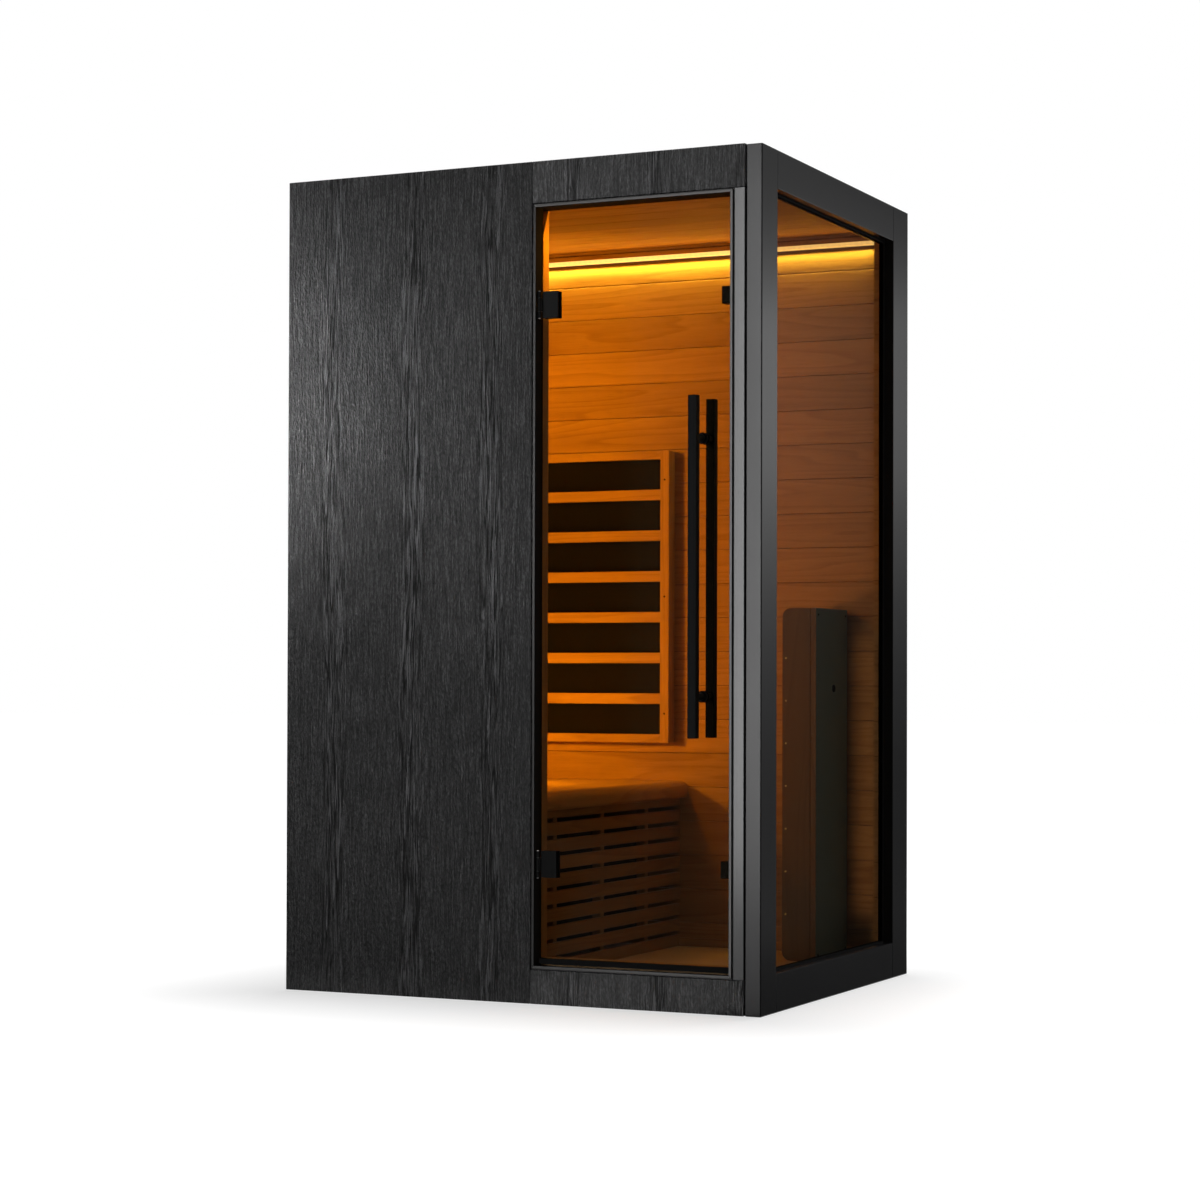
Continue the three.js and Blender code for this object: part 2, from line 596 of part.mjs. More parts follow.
// Bench: a seat with a rounded nose on a slatted front, and the calf heater behind the slats
function buildBench(cabin) {
  const run = [frontFace + FIT, backFace - FIT];
  const seatUnder = BENCH_TOP - SEAT_BOARD;
  const seat = new THREE.Shape();
  seat.moveTo(leftFace + FIT, BENCH_TOP);
  seat.lineTo(leftFace + FIT, seatUnder);
  seat.lineTo(benchFront - NOSE_WIDTH, seatUnder);
  seat.lineTo(benchFront - NOSE_WIDTH, noseFoot);
  seat.lineTo(benchFront - NOSE_UNDER_RADIUS, noseFoot);
  const underZ = noseFoot + NOSE_UNDER_RADIUS;
  seat.absarc(benchFront - NOSE_UNDER_RADIUS, underZ, NOSE_UNDER_RADIUS, -Math.PI / 2, 0);
  seat.absarc(benchFront - NOSE_RADIUS, BENCH_TOP - NOSE_RADIUS, NOSE_RADIUS, 0, Math.PI / 2);
  piece(cabin, 'bench_seat', prism(seat, 'y', run), wood);

  const foot = floorTop + FIT;
  const top = noseFoot - FIT;
  const slatX = [slatFace - SLAT_THICK, slatFace];
  const slats = [box(slatX, run, [top - TOP_SLAT, top])];
  let slatTop = top - TOP_SLAT - SLAT_GAP;
  while (slatTop > foot + SLAT_GAP) {
    const next = slatTop - SLAT_PITCH;
    const slatFoot = next > foot + SLAT_GAP ? slatTop - SLAT_PITCH + SLAT_GAP : foot;
    slats.push(box(slatX, run, [slatFoot, slatTop]));
    slatTop = next;
  }
  const battenX = [slatX[0] - BATTEN, slatX[0] + SLAT_THICK / 4];
  const battens = [];
  for (let i = 0; i < BATTENS; i += 1) {
    const middle = run[0] + BATTEN_FIRST + i * BATTEN_PITCH;
    battens.push(box(battenX, [middle - BATTEN / 2, middle + BATTEN / 2], [foot, top]));
  }
  piece(cabin, 'bench_grille', join(...slats, ...battens), wood);

  const middle = run[0] + BATTEN_FIRST + ((BATTENS - 1) * BATTEN_PITCH) / 2;
  const calfX = [battenX[0] - FIT - CALF_HEATER.thick, battenX[0] - FIT];
  const calfY = [middle - CALF_HEATER.length / 2, middle + CALF_HEATER.length / 2];
  const calfZ = [floorTop + CALF_HEATER.above, floorTop + CALF_HEATER.above + CALF_HEATER.height];
  slab(cabin, 'calf_emitter', emitterBlack, calfX, calfY, calfZ);
}

// A slatted heater in its own frame: X along its width, Z up from its foot, the front at y = 0
function buildHeater(name, width) {
  const heater = new THREE.Group();
  const cell = (HEATER_HEIGHT - 2 * HEATER_RAIL - (HEATER_CELLS - 1) * HEATER_SLAT) / HEATER_CELLS;
  const outer = rectangle([-width / 2, width / 2], [0, HEATER_HEIGHT]);
  const innerX = [HEATER_STILE - width / 2, width / 2 - HEATER_STILE];
  const innerZ = [HEATER_RAIL, HEATER_HEIGHT - HEATER_RAIL];
  const cells = [];
  for (let i = 0; i < HEATER_CELLS; i += 1) {
    const foot = HEATER_RAIL + i * (cell + HEATER_SLAT);
    cells.push(rectangle(innerX, [foot, foot + cell]));
  }
  const grille = prism(outline(outer, cells), 'y', [0, HEATER_SLAT_THICK]);
  const ring = prism(outline(outer, [rectangle(innerX, innerZ)]), 'y', [HEATER_SLAT_THICK / 2, HEATER_DEPTH]);
  piece(heater, `${name}_heater_frame`, join(grille, ring), heaterWood);
  const emitterX = [innerX[0] + FIT, innerX[1] - FIT];
  const emitterZ = [innerZ[0] + FIT, innerZ[1] - FIT];
  const emitterY = [EMITTER_SET, EMITTER_SET + EMITTER];
  slab(heater, `${name}_heater_emitter`, emitterBlack, emitterX, emitterY, emitterZ);
  return heater;
}

function buildHeaters(cabin) {
  const backHeater = buildHeater('back', BACK_HEATER_WIDTH);
  const foot = BENCH_TOP + HEATER_ABOVE_BENCH;
  const backMiddle = leftFace + BACK_HEATER_INSET + BACK_HEATER_WIDTH / 2;
  backHeater.position.set(backMiddle, backFace - FIT - HEATER_DEPTH, foot);
  cabin.add(backHeater);

  const leftHeater = buildHeater('left', LEFT_HEATER_WIDTH);
  leftHeater.rotation.z = Math.PI / 2;
  leftHeater.position.set(leftFace + FIT + HEATER_DEPTH, (frontFace + backFace) / 2, foot);
  cabin.add(leftHeater);
}

// Heater tower: a wooden case that faces the bench, with a grey cover towards the side pane
function buildTower(cabin) {
  const coverX = [rightInside - TOWER_CLEAR_SIDE - TOWER_COVER, rightInside - TOWER_CLEAR_SIDE];
  const caseX = [coverX[0] - FIT - TOWER_CASE, coverX[0] - FIT];
  const towerBack = backFace - TOWER_CLEAR_BACK;
  const towerY = [towerBack - TOWER_LENGTH, towerBack];
  const towerZ = [floorTop + FIT, floorTop + FIT + TOWER_HEIGHT];
  const inside = ([low, high]) => [low + TOWER_BOARD, high - TOWER_BOARD];
  const hollow = rectangle(inside(towerY), inside(towerZ));
  const ring = prism(outline(rectangle(towerY, towerZ), [hollow]), 'x', caseX);
  const rounded = new THREE.Shape();
  rounded.moveTo(caseX[1], towerZ[0]);
  rounded.lineTo(caseX[1], towerZ[1]);
  rounded.absarc(caseX[0] + TOWER_RADIUS, towerZ[1] - TOWER_RADIUS, TOWER_RADIUS, Math.PI / 2, Math.PI);
  rounded.absarc(caseX[0] + TOWER_RADIUS, towerZ[0] + TOWER_RADIUS, TOWER_RADIUS, Math.PI, 1.5 * Math.PI);
  piece(cabin, 'tower_case', common(ring, prism(rounded, 'y', towerY)), towerWood);

  const gapped = ([low, high]) => [low + TOWER_BOARD + FIT, high - TOWER_BOARD - FIT];
  const grilleY = gapped(towerY);
  const grilleZ = gapped(towerZ);
  const slotY = [grilleY[0] + TOWER_RAIL / 2, grilleY[1] - TOWER_RAIL / 2];
  const slots = [];
  for (let z = grilleZ[0] + TOWER_RAIL; z + SLAT_GAP < grilleZ[1] - TOWER_RAIL; z += SLAT_PITCH) {
    slots.push(rectangle(slotY, [z, z + SLAT_GAP]));
  }
  const grilleX = [caseX[0] + TOWER_GRILLE_SET, caseX[0] + TOWER_GRILLE_SET + TOWER_GRILLE];
  const grille = prism(outline(rectangle(grilleY, grilleZ), slots), 'x', grilleX);
  piece(cabin, 'tower_grille', grille, towerWood);
  const emitterX = [caseX[0] + TOWER_EMITTER_SET, caseX[0] + TOWER_EMITTER_SET + EMITTER];
  slab(cabin, 'tower_emitter', emitterBlack, emitterX, grilleY, grilleZ);
  slab(cabin, 'tower_back_cover', coverGrey, coverX, towerY, towerZ);
}

// LED line: a channel on the back wall, open to the room, with the diffuser on its web
function buildLed(cabin) {
  const run = [leftFace + FIT, rightInside - LED_END];
  const wall = backFace - FIT;
  const top = ceilingFace - LED_BELOW_CEILING;
  const foot = top - LED_HEIGHT;
  const section = outline([
    [wall, foot], [wall, top], [wall - LED_DEPTH, top], [wall - LED_DEPTH, top - LED_WALL],
    [wall - LED_WALL, top - LED_WALL], [wall - LED_WALL, foot + LED_WALL],
    [wall - LED_LOWER_FLANGE, foot + LED_WALL], [wall - LED_LOWER_FLANGE, foot],
  ]);
  piece(cabin, 'led_profile', prism(section, 'x', run), blackMetal);
  const diffuserTop = top - LED_WALL - FIT;
  const diffuserY = [wall - LED_DEPTH + LED_WALL, wall - LED_WALL - FIT];
  slab(cabin, 'led_strip', ledWarm, run, diffuserY, [diffuserTop - LED_DIFFUSER, diffuserTop]);
}

// Power box on the ceiling planks, mains inlet in the roof cover
function buildPower(cabin) {
  const around = (middle, size) => [middle - size / 2, middle + size / 2];
  const boxFoot = ceilingTop + FIT;
  slab(
    cabin, 'power_box', boxGrey,
    around(leftInside + POWER_BOX.fromLeft, POWER_BOX.length),
    around(backInside - POWER_BOX.fromBack, POWER_BOX.width),
    [boxFoot, boxFoot + POWER_BOX.height],
  );
  const roofTop = roofUnder + ROOF_COVER;
  const rimFoot = roofTop + FIT;
  const bodyX = around(inletX, INLET.length - 2 * FIT);
  const bodyY = around(inletY, INLET.width - 2 * FIT);
  const body = box(bodyX, bodyY, [roofTop - INLET.depth, rimFoot + INLET.rim / 2]);
  const rim = box(
    around(inletX, INLET.length + 2 * INLET.flange), around(inletY, INLET.width + 2 * INLET.flange),
    [rimFoot, rimFoot + INLET.rim],
  );
  const socketX = around(inletX, INLET.length - 2 * INLET.wall);
  const socketY = around(inletY, INLET.width - 2 * INLET.wall);
  const socket = box(socketX, socketY, [roofTop - INLET.depth + INLET.floor, rimFoot + 2 * INLET.rim]);
  piece(cabin, 'power_inlet', cut(join(body, rim), socket), blackMetal);
}

// Control panel on the front wall's planks, with two push buttons in pockets
function buildControls(cabin) {
  const face = frontFace + FIT + PANEL.thick;
  const panel = box(
    [panelX - PANEL.width / 2, panelX + PANEL.width / 2], [frontFace + FIT, face],
    [PANEL.z - PANEL.height / 2, PANEL.z + PANEL.height / 2],
  );
  const heights = { power: PANEL.z + BUTTON_SPACING / 2, light: PANEL.z - BUTTON_SPACING / 2 };
  const rod = (z, radius, span) => prism(outline(circle(panelX, z, radius)), 'y', span);
  const pockets = Object.values(heights).map((z) =>
    rod(z, BUTTON_RADIUS + FIT, [face - BUTTON_POCKET, face + BUTTON_POCKET]));
  piece(cabin, 'control_panel', cut(panel, ...pockets), panelBlack);
  const travelSpan = [face + BUTTON_PROUD - BUTTON_LENGTH, face + BUTTON_PROUD];
  for (const [use, z] of Object.entries(heights)) {
    piece(cabin, `${use}_button`, rod(z, BUTTON_RADIUS, travelSpan), steel);
  }
}

const cabin = new THREE.Group();
buildShell(cabin);
buildFront(cabin);
buildSideWindow(cabin);
buildLining(cabin);
buildDoorFrame(cabin);
for (const [where, z] of Object.entries(hingeHeights)) {
  buildHingeLeaf(cabin, where, z);
  buildCatch(cabin, where, z);
}
cabin.add(buildDoor());
buildBench(cabin);
buildHeaters(cabin);
buildTower(cabin);
buildLed(cabin);
buildPower(cabin);
buildControls(cabin);

export default cabin;
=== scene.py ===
"""Infrared sauna cabin: panels, plank lining, heaters, bench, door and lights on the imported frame."""

import math

import bmesh
import bpy
from mathutils import Matrix, Vector


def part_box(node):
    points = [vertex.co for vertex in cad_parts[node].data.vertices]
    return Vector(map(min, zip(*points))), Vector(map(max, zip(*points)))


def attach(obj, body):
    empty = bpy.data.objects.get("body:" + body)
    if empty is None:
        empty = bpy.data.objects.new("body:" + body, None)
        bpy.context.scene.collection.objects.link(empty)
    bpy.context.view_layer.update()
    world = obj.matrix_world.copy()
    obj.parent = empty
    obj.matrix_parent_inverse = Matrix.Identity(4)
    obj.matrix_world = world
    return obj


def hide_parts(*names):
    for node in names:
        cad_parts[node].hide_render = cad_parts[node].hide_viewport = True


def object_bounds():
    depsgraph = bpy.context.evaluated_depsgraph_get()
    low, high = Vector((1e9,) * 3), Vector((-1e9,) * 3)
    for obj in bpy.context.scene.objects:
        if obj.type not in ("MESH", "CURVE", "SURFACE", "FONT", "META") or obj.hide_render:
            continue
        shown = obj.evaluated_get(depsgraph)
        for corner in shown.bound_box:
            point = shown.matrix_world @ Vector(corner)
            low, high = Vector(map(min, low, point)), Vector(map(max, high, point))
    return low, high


bl_info = {
    "name": "Infrared sauna cabin",
    "version": (1, 0, 0),
    "blender": (4, 5, 0),
    "location": "View3D > Sidebar > Cabin",
    "description": "Dresses the cabin's solids with planks, slats, hardware, glass and light",
    "category": "Object",
}

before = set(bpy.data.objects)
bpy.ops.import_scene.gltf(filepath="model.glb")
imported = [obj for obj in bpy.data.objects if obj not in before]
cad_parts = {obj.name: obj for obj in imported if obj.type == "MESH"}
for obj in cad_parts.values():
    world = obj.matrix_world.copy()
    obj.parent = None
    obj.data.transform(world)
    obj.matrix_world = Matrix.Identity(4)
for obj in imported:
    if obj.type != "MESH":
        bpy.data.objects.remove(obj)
CAD_BOX = [list(corner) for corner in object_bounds()]
MM = 0.001
AXES = {"x": Vector((1, 0, 0)), "y": Vector((0, 1, 0)), "z": Vector((0, 0, 1))}
PAIR = ("lower", "upper")
BEVEL_ANGLE = math.radians(35)
FLAT_ANGLE = math.radians(0.5)
WELD = 2e-5


def low(node):
    """Lowest corner of a CAD node."""
    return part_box(node)[0]


def high(node):
    """Highest corner of a CAD node."""
    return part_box(node)[1]


def direction(name):
    """The unit vector of an axis name such as x or -y."""
    return -AXES[name[1:]] if name.startswith("-") else AXES[name]


# Settings


def length(title, default, text):
    """A length in metres that a user may change."""
    return bpy.props.FloatProperty(
        name=title, description=text, default=default, min=0.0, soft_max=2.0, precision=4, unit="LENGTH"
    )


def colour(title, default, text):
    """A linear colour that a user may change."""
    return bpy.props.FloatVectorProperty(
        name=title, description=text, default=default, size=3, min=0.0, max=1.0, subtype="COLOR"
    )


def power(title, default, text):
    """A lamp's watts that a user may change."""
    return bpy.props.FloatProperty(name=title, description=text, default=default, min=0.0, unit="POWER")


def amount(title, default, text, most=10.0):
    """A plain number that a user may change."""
    return bpy.props.FloatProperty(
        name=title, description=text, default=default, min=0.0, max=most, subtype="FACTOR"
    )


class CabinSizes(bpy.types.PropertyGroup):
    """Sizes of edges, joints and small fittings."""

    panel_edge: length("Panel edge", 1.4 * MM, "Rounding of the black panels")
    shadow_line: length("Shadow line", 2.2 * MM, "Dark lines beside the stile and the post")
    frame_edge: length("Frame edge", 1.6 * MM, "Rounding of the side window's posts and rails")
    trim_edge: length("Trim edge", 0.5 * MM, "Rounding of the door frame and the hinges")
    bar_edge: length("Bar edge", 1.1 * MM, "Rounding of the handle bars")
    plank_cover: length("Plank cover", 86.7 * MM, "Distance from one wall plank to the next")
    plank_joint: length("Plank joint", 0.9 * MM, "Open joint between two planks")
    plank_edge: length("Plank edge", 1.7 * MM, "Rounding of the planks' edges")
    slat_edge: length("Slat edge", 2.2 * MM, "Rounding of the bench slats")
    screw_radius: length("Screw radius", 3.4 * MM, "Radius of the wood screws' heads")


class CabinColours(bpy.types.PropertyGroup):
    """Colours of the finishes."""

    veneer: colour("Veneer", (0.0120, 0.0120, 0.0125), "Black embossed veneer of the walls")
    lacquer: colour("Lacquer", (0.0115, 0.0115, 0.0128), "Smooth black lacquer of the window frame")
    trim: colour("Trim", (0.058, 0.057, 0.057), "Anodised door frame")
    hardware: colour("Hardware", (0.0032, 0.0032, 0.0032), "Blackened hinges, handles and catches")
    wood_light: colour("Wood light", (0.50, 0.31, 0.15), "Early wood of the planks")
    wood_dark: colour("Wood dark", (0.24, 0.115, 0.040), "Late wood of the planks")
    deck_light: colour("Deck light", (0.56, 0.46, 0.42), "Early wood of the floor boards")
    deck_dark: colour("Deck dark", (0.36, 0.27, 0.22), "Late wood of the floor boards")
    tower_light: colour("Tower light", (0.17, 0.105, 0.06), "Early wood of the tower")
    tower_dark: colour("Tower dark", (0.09, 0.05, 0.026), "Late wood of the tower")
    cover: colour("Cover", (0.32, 0.52, 0.66), "Powder coat of the tower's cover")
    emitter: colour("Emitter", (0.005, 0.006, 0.010), "Carbon sheet of the heaters")
    door_tint: colour("Door tint", (0.84, 0.78, 0.66), "Light that a face of the door pane lets through")
    side_tint: colour("Side tint", (0.68, 0.62, 0.54), "Light that a face of the side pane lets through")
    led: colour("LED", (1.0, 0.74, 0.28), "Colour of the lit diffuser")
    glow: colour("Glow", (1.0, 0.86, 0.12), "Colour of the wash under the LED line")
    amber: colour("Amber", (1.0, 0.445, 0.006), "Colour of the light that falls into the room")


class CabinLight(bpy.types.PropertyGroup):
    """Strength of the lamps."""

    led_glow: amount("LED glow", 1.7, "Emission of the LED diffuser")
    glow_watts: power("Glow watts", 1.85, "Lamp that washes the wall under the LED line")
    spill_watts: power("Spill watts", 2.0, "Lamp from the LED line into the room")
    jamb_watts: power("Jamb watts", 0.42, "Glint on the door's left liner")
    high_watts: power("High watts", 16.0, "Amber lamp between the bench and the ceiling")
    low_watts: power("Low watts", 14.0, "Amber lamp over the bench")
    world: amount("World", 0.07, "Even light from all sides")
    key_watts: power("Key watts", 7.9, "Soft lamp at the front left")
    strip_watts: power("Strip watts", 13.0, "Tall lamp far in front of the cabin")
    fill_watts: power("Fill watts", 0.3, "Lamp that brightens the panel beside the door")
    corner_watts: power("Corner watts", 0.045, "Spill behind the heater tower")
    top_watts: power("Top watts", 190.0, "Wide lamp over the cabin")
    floor_lift: amount("Floor lift", 0.63, "Share of the floor's white that needs no lamp", 1.0)


# Node trees


class Value:
    """A node's output that takes part in Python sums; each sum adds a Math node."""

    def __init__(self, graph, socket):
        self.graph = graph
        self.socket = socket

    def __getitem__(self, name):
        return Value(self.graph, self.socket.node.outputs[name])

    def math(self, operation, first, second=0.0):
        """The result of one Math node."""
        return self.graph.node("ShaderNodeMath", {"operation": operation}, {0: first, 1: second})

    def sine(self):
        """The value's sine."""
        return self.math("SINE", self)

    def cosine(self):
        """The value's cosine."""
        return self.math("COSINE", self)

    def fraction(self):
        """What is left of the value after its whole number."""
        return self.math("FRACT", self)

    def __add__(self, other):
        return self.math("ADD", self, other)

    def __radd__(self, other):
        return self.math("ADD", other, self)

    def __sub__(self, other):
        return self.math("SUBTRACT", self, other)

    def __rsub__(self, other):
        return self.math("SUBTRACT", other, self)

    def __mul__(self, other):
        return self.math("MULTIPLY", self, other)

    def __rmul__(self, other):
        return self.math("MULTIPLY", other, self)

    def __pow__(self, other):
        return self.math("POWER", self, other)

    def at_least(self, least):
        """The value, or this one where that is more."""
        return self.math("MAXIMUM", self, least)

    def __abs__(self):
        return self.math("ABSOLUTE", self)


class Graph:
    """A node tree under construction."""

    def __init__(self, tree):
        self.tree = tree

    def node(self, kind, settings=None, sockets=None, out=0):
        """Adds a node: its settings are set first, then the values or links of its sockets."""
        node = self.tree.nodes.new(kind)
        for key, value in (settings or {}).items():
            if key == "stops":
                self.set_stops(node.color_ramp, value)
            else:
                setattr(node, key, value)
        for key, value in (sockets or {}).items():
            if isinstance(value, Value):
                self.tree.links.new(value.socket, node.inputs[key])
            else:
                node.inputs[key].default_value = value
        return Value(self, node.outputs[out]) if node.outputs else None

    @staticmethod
    def set_stops(ramp, stops):
        """Puts (position, grey or colour) stops on a ramp."""
        while len(ramp.elements) > 1:
            ramp.elements.remove(ramp.elements[-1])
        for i, (position, tone) in enumerate(stops):
            stop = ramp.elements[0] if i == 0 else ramp.elements.new(position)
            stop.position = position
            stop.color = (*tone, 1.0) if isinstance(tone, tuple) else (tone, tone, tone, 1.0)


class Finish(Graph):
    """A material under construction."""

    def __init__(self, name):
        self.material = bpy.data.materials.new(name)
        self.material.use_nodes = True
        super().__init__(self.material.node_tree)
        self.tree.nodes.clear()

    def place(self):
        """Object coordinates."""
        return self.node("ShaderNodeTexCoord")["Object"]

    def axes(self):
        """The three object coordinates as values."""
        split = self.node("ShaderNodeSeparateXYZ", None, {0: self.place()})
        return split["X"], split["Y"], split["Z"]

    def vector(self, x, y, z):
        """A vector from three values."""
        return self.node("ShaderNodeCombineXYZ", None, {0: x, 1: y, 2: z})

    def noise(self, vector, scale=1.0, detail=3.0, rough=0.55):
        """Noise from 0 to 1."""
        sockets = {"Vector": vector, "Scale": scale, "Detail": detail, "Roughness": rough}
        return self.node("ShaderNodeTexNoise", None, sockets)

    def ramp(self, factor, *stops):
        """A colour ramp."""
        return self.node("ShaderNodeValToRGB", {"stops": stops}, {0: factor})

    def attribute(self, name):
        """A number that the mesh carries."""
        return self.node("ShaderNodeAttribute", {"attribute_name": name})["Fac"]

    def blend(self, factor, first, second, mode="MIX"):
        """A mix of two colours."""
        first, second = ((*c, 1.0) if isinstance(c, tuple) else c for c in (first, second))
        settings = {"data_type": "RGBA", "blend_type": mode}
        return self.node("ShaderNodeMix", settings, {0: factor, 6: first, 7: second}, out=2)

    def shade(self, tint, factor):
        """A colour times a grey value."""
        return self.blend(1.0, tint, self.vector(factor, factor, factor), "MULTIPLY")

    def bump(self, height, strength, distance):
        """A surface relief; its distance is in metres."""
        return self.node(
            "ShaderNodeBump", None, {"Strength": strength, "Distance": distance, "Height": height}
        )

    def principled(self, **sockets):
        """The main shader; underscores in names stand for spaces."""
        named = {}
        for key, value in sockets.items():
            plain = (*value, 1.0) if isinstance(value, tuple) else value
            named[key.replace("_", " ")] = plain
        return self.node("ShaderNodeBsdfPrincipled", None, named)

    def done(self, surface):
        """Links the surface to the output and gives the material."""
        self.node("ShaderNodeOutputMaterial", None, {"Surface": surface})
        return self.material

    def coat(self, tint, roughness, specular, relief, strength, depth):
        """Ends a plain finish: colour, roughness, specular level and a relief with its depth."""
        return self.done(self.principled(
            Base_Color=tint, Roughness=roughness, Specular_IOR_Level=specular,
            Normal=self.bump(relief, strength, depth),
        ))


def finished(build):
    """Keeps one material or node tree for each set of arguments."""
    made = {}

    def once(*args):
        if args not in made:
            made[args] = build(*args)
        return made[args]

    return once


def colours():
    """The colours that the user may change."""
    return bpy.context.scene.cabin_colours


def tinged(tint, share=1.0):
    """A colour as plain numbers, darker or lighter by a share."""
    return tuple(part * share for part in tint)


# Finishes


@finished
def black_veneer(name, lift, gloss=0.34):
    """Black veneer with brushed grain up the wall: long wavy lines in bands, short flecks between.
    Painted highlights brighten the vein rims, painted shade darkens the clefts and the grain's low parts,
    and a lift above 1 makes a lighter copy as painted light.
    """
    band, band_start = 0.207, -0.51
    f = Finish(name)
    x, y, z = f.axes()
    piece = f.attribute("board") * 7.3
    leaf = x + y * 0.97
    across = leaf + piece
    sway = f.noise(f.vector(across * 7.0, 0.3, z * 3.0 + piece), 1.0, 2.0)
    twitch = f.noise(f.vector(across * 60.0, 4.1, z * 22.0), 1.0, 1.0)
    bent = across + sway * 0.022 + twitch * 0.0030
    wave = (leaf + sway * 0.05 - band_start) * (2 * math.pi / band)
    heart = f.ramp(wave.cosine(), (0.45, 0.0), (0.90, 1.0))
    streak = f.noise(f.vector(bent * 300.0, 3.1, z * 14.0), 1.0, 2.0, 0.5)
    line = f.ramp(streak, (0.38, 0.0), (0.62, 1.0))
    vein = f.noise(f.vector(bent * 150.0, 8.8, z * 4.2), 1.0, 2.0, 0.5)
    cleft = f.ramp(abs(vein - 0.5), (0.0, 0.0), (0.045, 1.0))
    rim = f.ramp(vein, (0.53, 0.0), (0.56, 1.0), (0.59, 1.0), (0.64, 0.0))
    dash = f.noise(f.vector(bent * 330.0, 5.2, z * 105.0), 1.0, 2.0, 0.55)
    fleck = f.ramp(dash, (0.36, 0.0), (0.64, 1.0))
    lines = (line - 0.5) * (heart * 0.30 + 0.52)
    flecks = (fleck - 0.5) * (0.62 - heart * 0.20)
    clefts = (cleft - 0.88 + rim * 0.45) * (heart * 0.85 + 0.25)
    height = lines + flecks + clefts
    shade = f.ramp(height + 0.5, (0.05, 0.10), (0.5, 0.80), (0.80, 1.9), (1.0, 3.6))
    # lift scales the colour; above 1 it is a lighter copy as painted light
    plain = f.blend(1.0, tinged(colours().veneer, lift), shade, "MULTIPLY")
    # painted highlight: the base colour is brightened along the vein rims, most in the bands
    base = f.shade(plain, rim * (heart * 1.3 + 0.3) + 1.0)
    skin = f.principled(
        Base_Color=base, Roughness=0.34 - height * 0.12, Specular_IOR_Level=gloss * lift,
        Normal=f.bump(height, 1.0, 2.6 * MM),
    )
    # painted shade: a dull black shader, mixed in by deep, darkens the clefts and the low parts of the
    # lines and flecks
    painted_groove_shade = f.principled(Base_Color=(0.003, 0.003, 0.003), Roughness=0.9, Specular_IOR_Level=0.0)
    deep = (1.0 - cleft) * (heart * 0.38 + 0.10) + (1.0 - line) * 0.21 + (1.0 - fleck) * 0.17
    return f.done(f.node("ShaderNodeMixShader", None, {0: deep, 1: skin, 2: painted_groove_shade}))


@finished
def matt_black():
    """Dull black paint of the door's reveal, of the painted shadow lines and of the header liner as
    painted shade.
    """
    f = Finish("matt_black")
    dust = f.noise(f.place(), 140.0, 3.0)
    base = f.shade((0.0045, 0.0045, 0.0045), dust * 0.7 + 0.65)
    return f.coat(base, dust * 0.10 + 0.80, 0.06, dust, 0.1, 0.2 * MM)


@finished
def hardware():
    """Stoved black of the hinges, the handle and the catches, with faint wear."""
    f = Finish("stoved_black")
    pebble = f.noise(f.place(), 1100.0, 2.0)
    wear = f.noise(f.place(), 24.0, 4.0, 0.6)
    base = f.shade(tinged(colours().hardware), wear * 0.8 + 0.6)
    return f.coat(base, wear * 0.12 + 0.38 + pebble * 0.05, 0.05, pebble, 0.10, 0.2 * MM)


@finished
def black_lacquer(name, gloss, sheen):
    """Smooth satin black of the posts, rails and stile, with a fine spray texture."""
    f = Finish(name)
    spot = f.place()
    peel = f.noise(spot, 420.0, 2.0)
    cloud = f.noise(spot, 2.6, 3.0)
    base = f.shade(tinged(colours().lacquer), cloud * 0.35 + 0.83)
    return f.coat(base, cloud * 0.08 + (gloss - 0.05) + peel * 0.04, sheen, peel, 0.10, 0.3 * MM)


@finished
def dark_metal(name, tint, roughness, axis):
    """Metal with a fine brushed line along one axis."""
    f = Finish(name)
    x, y, z = f.axes()
    stretch = [900.0, 900.0, 900.0]
    stretch["xyz".index(axis)] = 14.0
    line = f.noise(f.vector(x * stretch[0], y * stretch[1], z * stretch[2]), 1.0, 2.0)
    cloud = f.noise(f.place(), 9.0, 3.0)
    base = f.shade(tint, line * 0.30 + cloud * 0.22 + 0.74)
    return f.done(f.principled(
        Base_Color=base, Metallic=1.0, Roughness=line * 0.14 + (roughness - 0.07),
        Normal=f.bump(line, 0.06, 0.2 * MM),
    ))


def pin_steel():
    """Bright steel of the hinge pins, the keys and the inlet's pins."""
    return dark_metal("pin_steel", (0.46, 0.46, 0.45), 0.30, "z")


